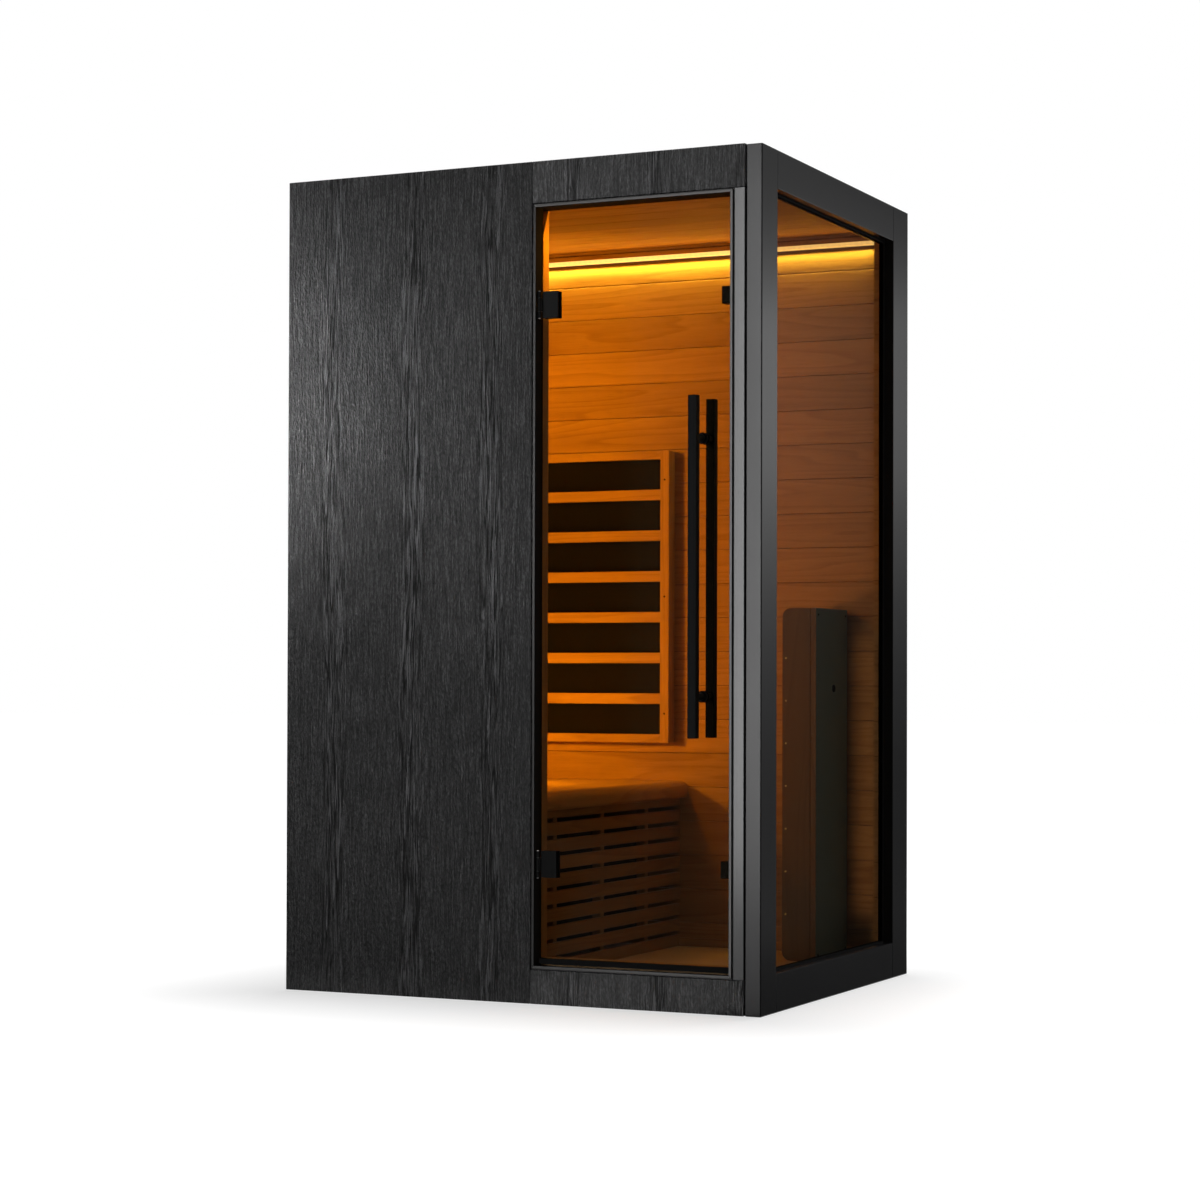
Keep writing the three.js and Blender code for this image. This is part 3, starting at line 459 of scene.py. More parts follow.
@finished
def wood(name, axis, light, dark, gloss, figure=1.0):
    """Planed softwood, its grain along one axis and as strong as `figure`; boards differ in tone."""
    f = Finish(name)
    place = dict(zip("xyz", f.axes()))
    along = place.pop(axis)
    first, second = place.values()
    board = f.attribute("board")
    shift = board * 37.0
    u, v, w = along + shift, first + shift * 0.31, second
    sway = f.noise(f.vector(u * 1.3, v * 7.0, w * 7.0), 1.0, 2.0, 0.5)
    field = f.noise(f.vector(u * 0.75, v * 13.0 + sway * 0.9, w * 13.0), 1.0, 1.0, 0.4)
    ring = f.ramp((field * 11.0).fraction(), (0.0, 0.15), (0.62, 0.45), (0.90, 1.0), (1.0, 0.1))
    fibre = f.noise(f.vector(u * 7.0, v * 420.0, w * 420.0), 1.0, 3.0, 0.6)
    flame = f.noise(f.vector(u * 2.4, v * 22.0, w * 22.0), 1.0, 3.0, 0.6)
    pore = f.noise(f.vector(u * 26.0, v * 700.0, w * 700.0), 1.0, 1.0)
    fleck = f.ramp(pore, (0.30, 1.0), (0.40, 0.0))
    factor = (ring * 0.38 + fibre * 0.42 + flame * 0.40 - 0.60) * figure + 0.34
    base = f.blend(f.node("ShaderNodeClamp", None, {0: factor}), light, dark)
    base = f.shade(base, board * 0.26 + 0.89 - fleck * 0.16)
    roughness = gloss + 0.10 * fibre - 0.06 * ring
    return f.coat(base, roughness, 0.35, fibre * 0.6 + ring * 0.4 - fleck * 0.5, 0.22, 0.5 * MM)


def light_wood(name, axis, share=1.0, figure=1.0):
    """Light wood of the cabin's inside; a share below 1 gives a darker copy, used as painted shade."""
    c = colours()
    return wood(name, axis, tinged(c.wood_light, share), tinged(c.wood_dark, share), 0.46, figure)


def plank_wood(axis):
    """Wood of the lining, the bench and the heaters."""
    return light_wood(f"plank_wood_{axis}", axis)


def shaded_ceiling_wood():
    """Boards of the ceiling, with stronger streaks, darkened to 0.82 as painted shade."""
    return light_wood("ceiling_wood_x", "x", 0.82, 1.7)


def shaded_bench_wood():
    """Slats of the bench front: the plank wood darkened to 0.76 as painted shade."""
    return light_wood("bench_wood_y", "y", 0.76)


def deck_wood():
    """Wood of the floor boards."""
    c = colours()
    return wood("deck_wood_x", "x", tinged(c.deck_light), tinged(c.deck_dark), 0.52)


def tower_wood(axis):
    """Darker wood of the heater tower."""
    c = colours()
    return wood(f"tower_wood_{axis}", axis, tinged(c.tower_light), tinged(c.tower_dark), 0.44)


@finished
def carbon_sheet():
    """Dark woven carbon sheet of the emitters."""
    f = Finish("carbon_sheet")
    x, y, z = f.axes()
    threads = 1400.0
    weave = ((x + y) * threads).sine() * (z * threads).sine()
    cloud = f.noise(f.place(), 7.0, 3.0)
    base = f.shade(tinged(colours().emitter), weave * 0.16 + cloud * 0.35 + 0.76)
    return f.coat(base, 0.58 + weave * 0.06, 0.25, weave, 0.25, 0.3 * MM)


@finished
def powder_coat(name, tint, roughness):
    """Powder-coated sheet metal or moulded plastic with a fine pebble."""
    f = Finish(name)
    pebble = f.noise(f.place(), 900.0, 2.0)
    cloud = f.noise(f.place(), 5.0, 3.0)
    base = f.shade(tint, pebble * 0.22 + cloud * 0.16 + 0.80)
    return f.coat(base, roughness + pebble * 0.10, 0.3, pebble, 0.22, 0.3 * MM)


@finished
def rubber():
    """Matt black seal rubber."""
    f = Finish("seal_rubber")
    grime = f.noise(f.place(), 60.0, 3.0)
    base = f.shade((0.006, 0.006, 0.006), grime * 0.6 + 0.7)
    return f.coat(base, grime * 0.12 + 0.74, 0.08, grime, 0.1, 0.2 * MM)


@finished
def pane(name, tint, shine):
    """Tinted pane: light passes straight through, a faint gloss grows towards the edges."""
    f = Finish(name)
    smear = f.noise(f.place(), 3.0, 2.0)
    edge = f.node("ShaderNodeLayerWeight", None, {"Blend": 0.35})["Facing"]
    clear = f.node("ShaderNodeBsdfTransparent", None, {"Color": (*tint, 1.0)})
    gloss = f.principled(
        Base_Color=(0.004, 0.004, 0.004), Roughness=0.03 + smear * 0.03, Specular_IOR_Level=0.5
    )
    factor = (edge ** 4.0) * 0.12 + shine
    return f.done(f.node("ShaderNodeMixShader", None, {0: factor, 1: clear, 2: gloss}))


@finished
def led_diffuser():
    """Milky diffuser of the LED line with faint bright spots over its chips."""
    f = Finish("led_diffuser")
    x, _, _ = f.axes()
    chips = (x * 420.0).sine() * 0.05 + 0.95
    glow = f.shade(tinged(colours().led), chips)
    return f.done(f.principled(
        Base_Color=(0.8, 0.7, 0.5), Roughness=0.5, Emission_Color=glow,
        Emission_Strength=bpy.context.scene.cabin_light.led_glow,
    ))


@finished
def plywood():
    """Birch plywood of the base and the joist: plies show on the edges."""
    f = Finish("plywood")
    x, y, z = f.axes()
    ply = (z * 1050.0).sine() * 0.5 + 0.5
    fibre = f.noise(f.vector(x * 9.0, y * 260.0, z * 260.0), 1.0, 3.0)
    base = f.blend(ply * 0.35 + fibre * 0.5, (0.42, 0.29, 0.17), (0.22, 0.13, 0.07))
    return f.coat(base, fibre * 0.15 + 0.6, 0.3, fibre, 0.15, 0.4 * MM)


@finished
def ink():
    """White ink of the signs on the controls, slightly worn."""
    f = Finish("sign_ink")
    wear = f.noise(f.place(), 900.0, 2.0)
    base = f.blend(wear, (0.62, 0.62, 0.60), (0.80, 0.80, 0.78))
    return f.done(f.principled(Base_Color=base, Roughness=wear * 0.2 + 0.5))


# Shapes


def new_mesh(name, shape):
    """A mesh from a bmesh, which is freed."""
    mesh = bpy.data.meshes.new(name)
    shape.to_mesh(mesh)
    shape.free()
    return mesh


def merged_copy(node):
    """A node's solid as a shape: corners merged, flat faces joined."""
    shape = bmesh.new()
    shape.from_mesh(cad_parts[node].data)
    bmesh.ops.remove_doubles(shape, verts=shape.verts, dist=WELD)
    bmesh.ops.dissolve_limit(
        shape, angle_limit=FLAT_ANGLE, verts=shape.verts, edges=shape.edges, use_dissolve_boundaries=False
    )
    return shape


def prism(section, start, end):
    """A bar along Y whose section holds (x, z) points."""
    shape = bmesh.new()
    near, far = ([shape.verts.new((x, y, z)) for x, z in section] for y in (start, end))
    shape.faces.new(near)
    shape.faces.new(far)
    for i, vertex in enumerate(near):
        j = (i + 1) % len(near)
        shape.faces.new((vertex, near[j], far[j], far[i]))
    bmesh.ops.recalc_face_normals(shape, faces=shape.faces)
    return shape


def turned(profile, centre, axis, sides=32):
    """A turned shape round an axis through centre; the profile is (radius, height) from pole to pole."""
    shape = bmesh.new()
    up = AXES[axis]
    side = up.orthogonal().normalized()
    other = up.cross(side)
    rings = []
    for radius, height in profile:
        spot = Vector(centre) + up * height
        if radius < 1e-9:
            rings.append([shape.verts.new(spot)])
            continue
        ring = []
        for i in range(sides):
            turn = 2 * math.pi * i / sides
            outward = side * math.cos(turn) + other * math.sin(turn)
            ring.append(shape.verts.new(spot + outward * radius))
        rings.append(ring)
    for near, far in zip(rings, rings[1:]):
        for i in range(sides):
            j = (i + 1) % sides
            corners = [near[i % len(near)], near[j % len(near)], far[j % len(far)], far[i % len(far)]]
            unique = list(dict.fromkeys(corners))
            if len(unique) > 2:
                shape.faces.new(unique)
    bmesh.ops.recalc_face_normals(shape, faces=shape.faces)
    return shape


def mark_boards(mesh, seed):
    """Gives a mesh without its own board numbers one number for the whole piece."""
    golden = 0.618
    if "board" not in mesh.attributes:
        marks = mesh.attributes.new("board", "FLOAT", "POINT")
        marks.data.foreach_set("value", [(seed * golden) % 1.0] * len(mesh.vertices))


def place(name, mesh, material, body="cabin", nodes=(), slot=None, edge=0.0, segments=2):
    """Shows a mesh as a piece on a body, with rounded edges where asked."""
    if isinstance(mesh, bmesh.types.BMesh):
        mesh = new_mesh(name, mesh)
    if material is not None:
        mesh.materials.clear()
        mesh.materials.append(material)
    mark_boards(mesh, sum(map(ord, name)))
    piece = bpy.data.objects.new(name, mesh)
    bpy.context.scene.collection.objects.link(piece)
    if edge:
        mesh.polygons.foreach_set("use_smooth", [True] * len(mesh.polygons))
        bevel = piece.modifiers.new("edges", "BEVEL")
        bevel.width = edge
        bevel.segments = segments
        bevel.limit_method = "ANGLE"
        bevel.angle_limit = BEVEL_ANGLE
        shading = piece.modifiers.new("flat_faces", "WEIGHTED_NORMAL")
        shading.mode = "FACE_AREA"
        shading.weight = 100
    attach(piece, body)
    if nodes:
        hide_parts(*nodes)
    return piece


def dress(nodes, material, slot, edge, body="cabin", segments=2):
    """One bevelled piece for each node."""
    for node in nodes:
        place(f"{node}_body", merged_copy(node), material, body, [node], slot, edge, segments)


def dress_bar(node, finish, front, slot, edge):
    """A bar whose front face has its own finish."""
    mesh = new_mesh(f"{node}_body", merged_copy(node))
    mesh.materials.append(finish)
    mesh.materials.append(front)
    fronts = [int(face.normal.y < -0.5) for face in mesh.polygons]
    mesh.polygons.foreach_set("material_index", fronts)
    place(f"{node}_body", mesh, None, "cabin", [node], slot, edge)


# Rows of boards and screws by Geometry Nodes


class Recipe(Graph):
    """A Geometry Nodes tree with named inputs."""

    def __init__(self, name, inputs):
        super().__init__(bpy.data.node_groups.new(name, "GeometryNodeTree"))
        face = self.tree.interface
        face.new_socket("Geometry", in_out="INPUT", socket_type="NodeSocketGeometry")
        for title, kind in inputs.items():
            face.new_socket(title, in_out="INPUT", socket_type=f"NodeSocket{kind}")
        face.new_socket("Geometry", in_out="OUTPUT", socket_type="NodeSocketGeometry")
        self.given = Value(self, self.tree.nodes.new("NodeGroupInput").outputs[0])

    def finish(self, geometry):
        """Realises the instances, sets the material and ends the tree."""
        real = self.node("GeometryNodeRealizeInstances", None, {0: geometry})
        dressed = self.node(
            "GeometryNodeSetMaterial", None, {"Geometry": real, "Material": self.given["Material"]}
        )
        self.node("NodeGroupOutput", None, {0: dressed})
        return self.tree


@finished
def board_recipe():
    """A row of boards with rounded edges, each with its own number in `board`."""
    kinds = {
        "Length": "Float", "Width": "Float", "Thickness": "Float", "Rounding": "Float", "Count": "Int",
        "First": "Vector", "Step": "Vector", "Turn": "Vector", "Last Share": "Float", "Seed": "Int",
        "Material": "Material",
    }
    r = Recipe("Board Row", kinds)
    given = r.given
    quad = r.node(
        "GeometryNodeCurvePrimitiveQuadrilateral", {"mode": "RECTANGLE"},
        {"Width": given["Width"], "Height": given["Thickness"]},
    )
    section = r.node(
        "GeometryNodeFilletCurve", {"mode": "POLY"},
        {"Curve": quad, "Count": 2, "Radius": given["Rounding"]},
    )
    end = r.node("ShaderNodeCombineXYZ", None, {0: given["Length"]})
    path = r.node("GeometryNodeCurvePrimitiveLine", {"mode": "POINTS"}, {"End": end})
    path = r.node("GeometryNodeSetCurveNormal", {"mode": "Z_UP"}, {"Curve": path})
    swept = r.node(
        "GeometryNodeCurveToMesh", None, {"Curve": path, "Profile Curve": section, "Fill Caps": True}
    )
    corner = r.node(
        "ShaderNodeCombineXYZ", None, {1: given["Width"] * 0.5, 2: given["Thickness"] * 0.5}
    )
    board = r.node("GeometryNodeTransform", None, {"Geometry": swept, "Translation": corner})
    points = r.node(
        "GeometryNodeMeshLine", {"mode": "OFFSET"},
        {"Count": given["Count"], "Start Location": given["First"], "Offset": given["Step"]},
    )
    index = r.node("GeometryNodeInputIndex")
    is_last = r.node(
        "FunctionNodeCompare", {"data_type": "INT", "operation": "GREATER_EQUAL"},
        {2: index, 3: given["Count"] - 1.0},
    )
    share = r.node(
        "GeometryNodeSwitch", {"input_type": "FLOAT"},
        {"Switch": is_last, "False": 1.0, "True": given["Last Share"]},
    )
    scale = r.node("ShaderNodeCombineXYZ", None, {0: 1.0, 1: share, 2: 1.0})
    row = r.node(
        "GeometryNodeInstanceOnPoints", None,
        {"Points": points, "Instance": board, "Rotation": given["Turn"], "Scale": scale},
    )
    tone = r.node("FunctionNodeRandomValue", {"data_type": "FLOAT"}, {"Seed": given["Seed"]}, out=1)
    marked = r.node(
        "GeometryNodeStoreNamedAttribute", {"data_type": "FLOAT", "domain": "INSTANCE"},
        {"Geometry": row, "Name": "board", "Value": tone},
    )
    flat = r.node("GeometryNodeSetShadeSmooth", None, {"Geometry": marked, "Shade Smooth": False})
    return r.finish(flat)


@finished
def screw_recipe():
    """Screw heads with a round socket on the points of a mesh."""
    kinds = {"Radius": "Float", "Height": "Float", "Turn": "Vector", "Material": "Material"}
    r = Recipe("Screw Heads", kinds)
    given = r.given
    head = r.node(
        "GeometryNodeMeshCone", None,
        {
            "Vertices": 16, "Radius Top": given["Radius"] * 0.82, "Radius Bottom": given["Radius"],
            "Depth": given["Height"],
        },
    )
    normal = r.node("ShaderNodeSeparateXYZ", None, {0: r.node("GeometryNodeInputNormal")})
    is_top = r.node(
        "FunctionNodeCompare", {"data_type": "FLOAT", "operation": "GREATER_THAN"},
        {0: normal["Z"], 1: 0.9},
    )
    rim = r.node(
        "GeometryNodeExtrudeMesh", {"mode": "FACES"},
        {"Mesh": head, "Selection": is_top, "Offset Scale": 0.0},
    )
    inner = r.node(
        "GeometryNodeScaleElements", None, {"Geometry": rim, "Selection": rim["Top"], "Scale": 0.55}
    )
    sunk = r.node(
        "GeometryNodeExtrudeMesh", {"mode": "FACES"},
        {"Mesh": inner, "Selection": rim["Top"], "Offset Scale": given["Height"] * -0.6},
    )
    row = r.node(
        "GeometryNodeInstanceOnPoints", None,
        {"Points": given["Geometry"], "Instance": sunk, "Rotation": given["Turn"]},
    )
    return r.finish(row)


@finished
def bead_recipe():
    """A round bead along the edges of a mesh."""
    r = Recipe("Bead", {"Radius": "Float", "Sides": "Int", "Material": "Material"})
    given = r.given
    path = r.node("GeometryNodeMeshToCurve", None, {"Mesh": given["Geometry"]})
    section = r.node(
        "GeometryNodeCurvePrimitiveCircle", {"mode": "RADIUS"},
        {"Resolution": given["Sides"], "Radius": given["Radius"]},
    )
    bead = r.node(
        "GeometryNodeCurveToMesh", None, {"Curve": path, "Profile Curve": section, "Fill Caps": True}
    )
    return r.finish(bead)


def grown(tree, inputs, points=(), edges=()):
    """The plain mesh that a tree makes from these inputs and starting points."""
    seed_mesh = bpy.data.meshes.new("start")
    seed_mesh.from_pydata([tuple(p) for p in points], edges, [])
    carrier = bpy.data.objects.new("start", seed_mesh)
    bpy.context.scene.collection.objects.link(carrier)
    modifier = carrier.modifiers.new("grow", "NODES")
    modifier.node_group = tree
    for item in tree.interface.items_tree:
        if item.in_out == "INPUT" and item.name in inputs:
            modifier[item.identifier] = inputs[item.name]
    bpy.context.view_layer.update()
    graph = bpy.context.evaluated_depsgraph_get()
    mesh = bpy.data.meshes.new_from_object(
        carrier.evaluated_get(graph), preserve_all_data_layers=True, depsgraph=graph
    )
    carrier.modifiers.remove(modifier)
    bpy.data.objects.remove(carrier)
    bpy.data.meshes.remove(seed_mesh)
    if not mesh.polygons:
        raise RuntimeError(f"{tree.name} made nothing")
    mesh.polygons.foreach_set("material_index", [0] * len(mesh.polygons))
    mesh.materials.clear()
    mesh.materials.append(inputs["Material"])
    return mesh


def turn_to(along, across):
    """Euler angles that turn X to along and Y to across."""
    columns = Matrix((along, across, along.cross(across))).transposed()
    return tuple(columns.to_euler())


def boards(size, first, step, count, along, across, out, material, edge, seed=1, last=1.0):
    """A row of boards: size is (length, width, thickness), first the corner of the first board."""
    along, across, out = Vector(along), Vector(across), Vector(out)
    first = Vector(first)
    if along.cross(across).dot(out) < 0:
        first = first + along * size[0]
        along = -along
    inputs = {
        "Length": size[0], "Width": size[1], "Thickness": size[2], "Rounding": edge, "Count": count,
        "First": tuple(first), "Step": tuple(Vector(step)), "Turn": turn_to(along, across),
        "Last Share": last, "Seed": seed, "Material": material,
    }
    return grown(board_recipe(), inputs)


def board(low_corner, high_corner, along, out, material, edge, seed=1):
    """A single board that fills a box, with its length along one axis."""
    a, b = Vector(low_corner), Vector(high_corner)
    along, out = direction(along), direction(out)
    across = Vector([1 - abs(p) - abs(q) for p, q in zip(along, out)])
    first = Vector([b[i] if out[i] < 0 else a[i] for i in range(3)])
    size = [abs((b - a).dot(way)) for way in (along, across, out)]
    return boards(size, first, (0, 0, 0), 1, along, across, out, material, edge, seed)


def one_mesh(name, meshes):
    """Several meshes with the same material as one."""
    whole = bmesh.new()
    material = meshes[0].materials[0]
    for mesh in meshes:
        whole.from_mesh(mesh)
        bpy.data.meshes.remove(mesh)
    mesh = new_mesh(name, whole)
    mesh.materials.append(material)
    return mesh


def show(name, meshes, nodes=(), slot=None, body="cabin"):
    """Shows grown meshes as one piece with the material that they carry."""
    return place(name, one_mesh(name, meshes), None, body, nodes, slot)


def screws(name, points, normal, material, radius, height, slot, body="cabin"):
    """Screw heads on these points, facing along normal."""
    turn = Vector(normal).to_track_quat("Z", "Y").to_euler()
    inputs = {"Radius": radius, "Height": height, "Turn": tuple(turn), "Material": material}
    return show(name, [grown(screw_recipe(), inputs, points)], (), slot, body)


def screw_pair(node, middle, inset, radius, body):
    """Two screws on the room side of a fitting, on its middle line or inset from its free edge."""
    a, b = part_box(node)
    x = (a.x + b.x) / 2 if middle else b.x - inset
    points = [(x, b.y + 0.4 * MM, z) for z in (a.z + inset, b.z - inset)]
    screws(f"{node}_screws", points, (0, 1, 0), hardware(), radius, 1.0 * MM, "black_hardware", body)


def bead(points, radius, material):
    """A round bead through these points."""
    edges = [(i, i + 1) for i in range(len(points) - 1)]
    inputs = {"Radius": radius, "Sides": 8, "Material": material}
    return grown(bead_recipe(), inputs, points, edges)


# Operators


class CABIN_OT_walls(bpy.types.Operator):
    """Outer panels of black veneer, the roof and what carries them"""

    bl_idname = "cabin.walls"
    bl_label = "Outer panels"

    def execute(self, context):
        s = context.scene.cabin_sizes
        walls = ["left_wall_panel", "back_wall_panel"]
        dress(walls, black_veneer("wall_veneer", 1.0, 0.10), "black_grain", s.panel_edge)
        dress(["front_left_panel"], black_veneer("black_veneer", 1.0), "black_grain", s.panel_edge)
        # painted light: the header and footer take a lighter copy of the veneer, colour and gloss times
        # 1.85
        door_panels = ["front_header_panel", "front_footer_panel"]
        dress(door_panels, black_veneer("door_veneer", 1.85), "black_grain", s.panel_edge)
        smooth = black_lacquer("stile_lacquer", 0.16, 0.47)
        dress(["front_right_stile"], smooth, "black_grain", s.panel_edge)
        self.shadow_lines(s.shadow_line)
        roof = powder_coat("roof_black", (0.014, 0.014, 0.0145), 0.55)
        dress(["roof_cover"], roof, "black_grain", s.panel_edge)
        dress(["base_panel", "roof_joist"], plywood(), "base_board", 0.8 * MM)
        self.roof_screws(s.screw_radius)
        return {"FINISHED"}

    @staticmethod
    def roof_screws(radius):
        """Two rows of screws along the roof's front and back."""
        a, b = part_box("roof_cover")
        inset, gaps = 18 * MM, 5
        run = b.x - a.x - 2 * inset
        rows = [a.x + inset + run * i / gaps for i in range(gaps + 1)]
        points = [(x, y, b.z + 0.5 * MM) for x in rows for y in (a.y + inset, b.y - inset)]
        screws("roof_screws", points, (0, 0, 1), hardware(), radius, 1.2 * MM, "black_hardware")

    @staticmethod
    def shadow_lines(wide):
        """Black strips as painted shadow in the gaps between the door frame and the stile, and on the
        corner post's outer edge.
        """
        stile, post = low("front_right_stile"), high("front_corner_post")
        front = min(stile.y, low("front_corner_post").y)
        proud, deep, inset, clear = 0.25 * MM, 1.5 * MM, 0.4 * MM, 1 * MM
        lines = []
        for x, z0, z1 in (
            (stile.x, low("door_frame_right").z, high("door_frame_right").z),
            (post.x - inset - wide, clear, post.z - clear),
        ):
            corners = (x, front - proud, z0), (x + wide, front + deep, z1)
            lines.append(board(*corners, "z", "-y", matt_black(), 0.1 * MM))
        show("shadow_lines", lines, (), "black_frame")


class CABIN_OT_side_window(bpy.types.Operator):
    """Posts and rails of the side window, its pane and the seal round it"""

    bl_idname = "cabin.side_window"
    bl_label = "Side window"

    def execute(self, context):
        s = context.scene.cabin_sizes
        lacquer = black_lacquer("black_lacquer", 0.22, 0.30)
        bars = ["front_corner_post", "side_top_rail", "side_bottom_rail"]
        dress(bars, lacquer, "black_frame", s.frame_edge)
        dress_bar("rear_corner_post", lacquer, matt_black(), "black_frame", s.frame_edge)
        glass = pane("side_pane", tinged(colours().side_tint), 0.07)
        dress(["side_glass"], glass, "bronze_glass", 0.8 * MM)
        self.seal()
        return {"FINISHED"}

    @staticmethod
    def seal():
        """Seal strips between the pane and the frame, inside and outside."""
        glass_low, glass_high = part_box("side_glass")
        y0, y1 = high("front_corner_post").y, low("rear_corner_post").y
        z0, z1 = high("side_bottom_rail").z, low("side_top_rail").z
        wide, proud, clear, edge = 5 * MM, 2.5 * MM, 0.1 * MM, 1.0 * MM
        strips = []
        for x, out in ((glass_high.x, 1), (glass_low.x, -1)):
            x0, x1 = sorted((x + out * clear, x + out * proud))
            side = "x" if out > 0 else "-x"
            for z in (z0, z1 - wide):
                corners = (x0, y0, z), (x1, y1, z + wide)
                strips.append(board(*corners, "y", side, rubber(), edge))
            for y in (y0, y1 - wide):
                corners = (x0, y, z0 + wide), (x1, y + wide, z1 - wide)
                strips.append(board(*corners, "z", side, rubber(), edge))
        show("side_glass_seal", strips, (), "sweep_rubber")


class CABIN_OT_lining(bpy.types.Operator):
    """Planks of the walls and the ceiling, floor boards, liners and skirting"""

    bl_idname = "cabin.lining"
    bl_label = "Plank lining"

    def execute(self, context):
        self.sizes = context.scene.cabin_sizes
        self.wall("left_wall_lining", (0, 1, 0), (1, 0, 0), 11)
        self.wall("back_wall_lining", (1, 0, 0), (0, -1, 0), 23)
        self.wall("front_wall_lining", (1, 0, 0), (0, 1, 0), 37)
        self.facing()
        self.ceiling()
        self.deck()
        self.liners()
        return {"FINISHED"}

    def planks_for(self, span):
        """Planks that cover a span: their width, their number and the share that the last one keeps."""
        cover = self.sizes.plank_cover
        width = cover - self.sizes.plank_joint
        count = math.ceil(span / cover - 0.05)
        return width, count, min(1.0, (span - (count - 1) * cover) / width)

    def wall(self, node, along, out, seed):
        """One wall's planks, counted down from the ceiling; the last one is cut to fit."""
        a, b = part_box(node)
        s = self.sizes
        width, count, last = self.planks_for(b.z - a.z)
        run = (b - a).dot(Vector(along))
        depth = abs((b - a).dot(Vector(out)))
        back = Vector([a[i] if out[i] > 0 else b[i] for i in range(3)])
        first = Vector([a[i] if along[i] else back[i] for i in range(3)])
        first.z = b.z
        axis = "x" if along[0] else "y"
        planks = boards(
            (run, width, depth), first, (0, 0, -s.plank_cover), count, along, (0, 0, -1), out,
            plank_wood(axis), s.plank_edge, seed, last,
        )
        show(f"{node}_planks", [planks], [node], "plank_wood")

    def facing(self):
        """Thin boards on the rear post's inner half, in line with the back wall's planks."""
        s = self.sizes
        clear, thick, edge = 3 * MM, 1.5 * MM, 0.4 * MM
        x0, x1 = low("rear_corner_post").x, low("side_glass").x - clear
        y = low("rear_corner_post").y
        foot, head = high("side_bottom_rail").z, low("side_top_rail").z
        top = high("back_wall_lining").z
        strips = []
        for i in range(math.ceil((top - foot) / s.plank_cover)):
            z0 = max(top - (i + 1) * s.plank_cover + s.plank_joint, foot)
            z1 = min(top - i * s.plank_cover, head)
            corners = (x0, y - thick, z0), (x1, y - 0.1 * MM, z1)
            strips.append(board(*corners, "x", "-y", plank_wood("x"), edge))
        show("rear_post_facing", strips, (), "plank_wood")

    def ceiling(self):
        """Ceiling planks, counted from the back wall."""
        a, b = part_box("ceiling_lining")
        s = self.sizes
        width, count, last = self.planks_for(b.y - a.y)
        planks = boards(
            (b.x - a.x, width, b.z - a.z), (a.x, b.y, b.z), (0, -s.plank_cover, 0), count,
            (1, 0, 0), (0, -1, 0), (0, 0, -1), shaded_ceiling_wood(), s.plank_edge, 53, last,
        )
        show("ceiling_planks", [planks], ["ceiling_lining"], "plank_wood")

    def deck(self):
        """Floor boards across the cabin."""
        a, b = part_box("floor_deck")
        count, gap, edge = 9, 0.8 * MM, 1.2 * MM
        pitch = (b.y - a.y) / count
        planks = boards(
            (b.x - a.x, pitch - gap, b.z - a.z), a, (0, pitch, 0), count,
            (1, 0, 0), (0, 1, 0), (0, 0, 1), deck_wood(), edge, 71,
        )
        show("floor_boards", [planks], ["floor_deck"], "deck_wood")

    def liners(self):
        """Liners round the door, the header liner in matt black as painted shade, and the skirting on the
        back wall.
        """
        edge = self.sizes.plank_edge
        dress(["sill_liner"], plank_wood("x"), "plank_wood", edge)
        # painted shade: the header liner is dressed matt black for its unlit underside
        dress(["header_liner"], matt_black(), "black_frame", edge)
        dress(["jamb_liner_left", "jamb_liner_right"], plank_wood("z"), "plank_wood", edge)
        face = low("back_wall_lining").y
        thick, tall = 8 * MM, 21 * MM
        x0, x1 = high("bench_grille").x + 0.3 * MM, high("back_wall_lining").x
        z0 = low("back_wall_lining").z
        corners = (x0, face - thick, z0), (x1, face - 0.2 * MM, z0 + tall)
        strip = board(*corners, "x", "-y", plank_wood("x"), 2.0 * MM, 5)
        show("back_skirting", [strip], (), "plank_wood")


class CABIN_OT_door_frame(bpy.types.Operator):
    """Metal frame round the door with the hinge leaves, pins and catches"""

    bl_idname = "cabin.door_frame"
    bl_label = "Door frame"

    def execute(self, context):
        s = context.scene.cabin_sizes
        # painted shade: each side of the trim has its own copy of the colour, the left darkest, by how
        # light falls on it
        sides = ("left", "z", 0.45), ("right", "z", 1.0), ("head", "x", 0.9), ("sill", "x", 0.8)
        for side, axis, tone in sides:
            metal = dark_metal(f"anodised_trim_{side}", tinged(colours().trim, tone), 0.36, axis)
            dress_bar(f"door_frame_{side}", matt_black(), metal, "door_trim", s.trim_edge)
        dress(["hinge_leaf_lower", "hinge_leaf_upper"], hardware(), "black_hardware", s.trim_edge)
        for where in PAIR:
            self.pin(f"hinge_pin_{where}")
        dress(["catch_lower", "catch_upper"], hardware(), "black_hardware", 1.2 * MM)
        for where in PAIR:
            screw_pair(f"catch_{where}", True, 9 * MM, s.screw_radius, "cabin")
        return {"FINISHED"}

    @staticmethod
    def pin(node):
        """Hinge pin with domed ends."""
        a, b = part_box(node)
        radius = (b.x - a.x) / 2
        centre = ((a.x + b.x) / 2, (a.y + b.y) / 2, a.z)
        tall = b.z - a.z
        cap = 1.2 * MM
        dome = [(0, 0), (radius * 0.6, 0), (radius * 0.92, cap * 0.4), (radius, cap)]
        profile = dome + [(r, tall - h) for r, h in reversed(dome)]
        place(f"{node}_body", turned(profile, centre, "z", 24), pin_steel(), "cabin", [node], "pin_steel")


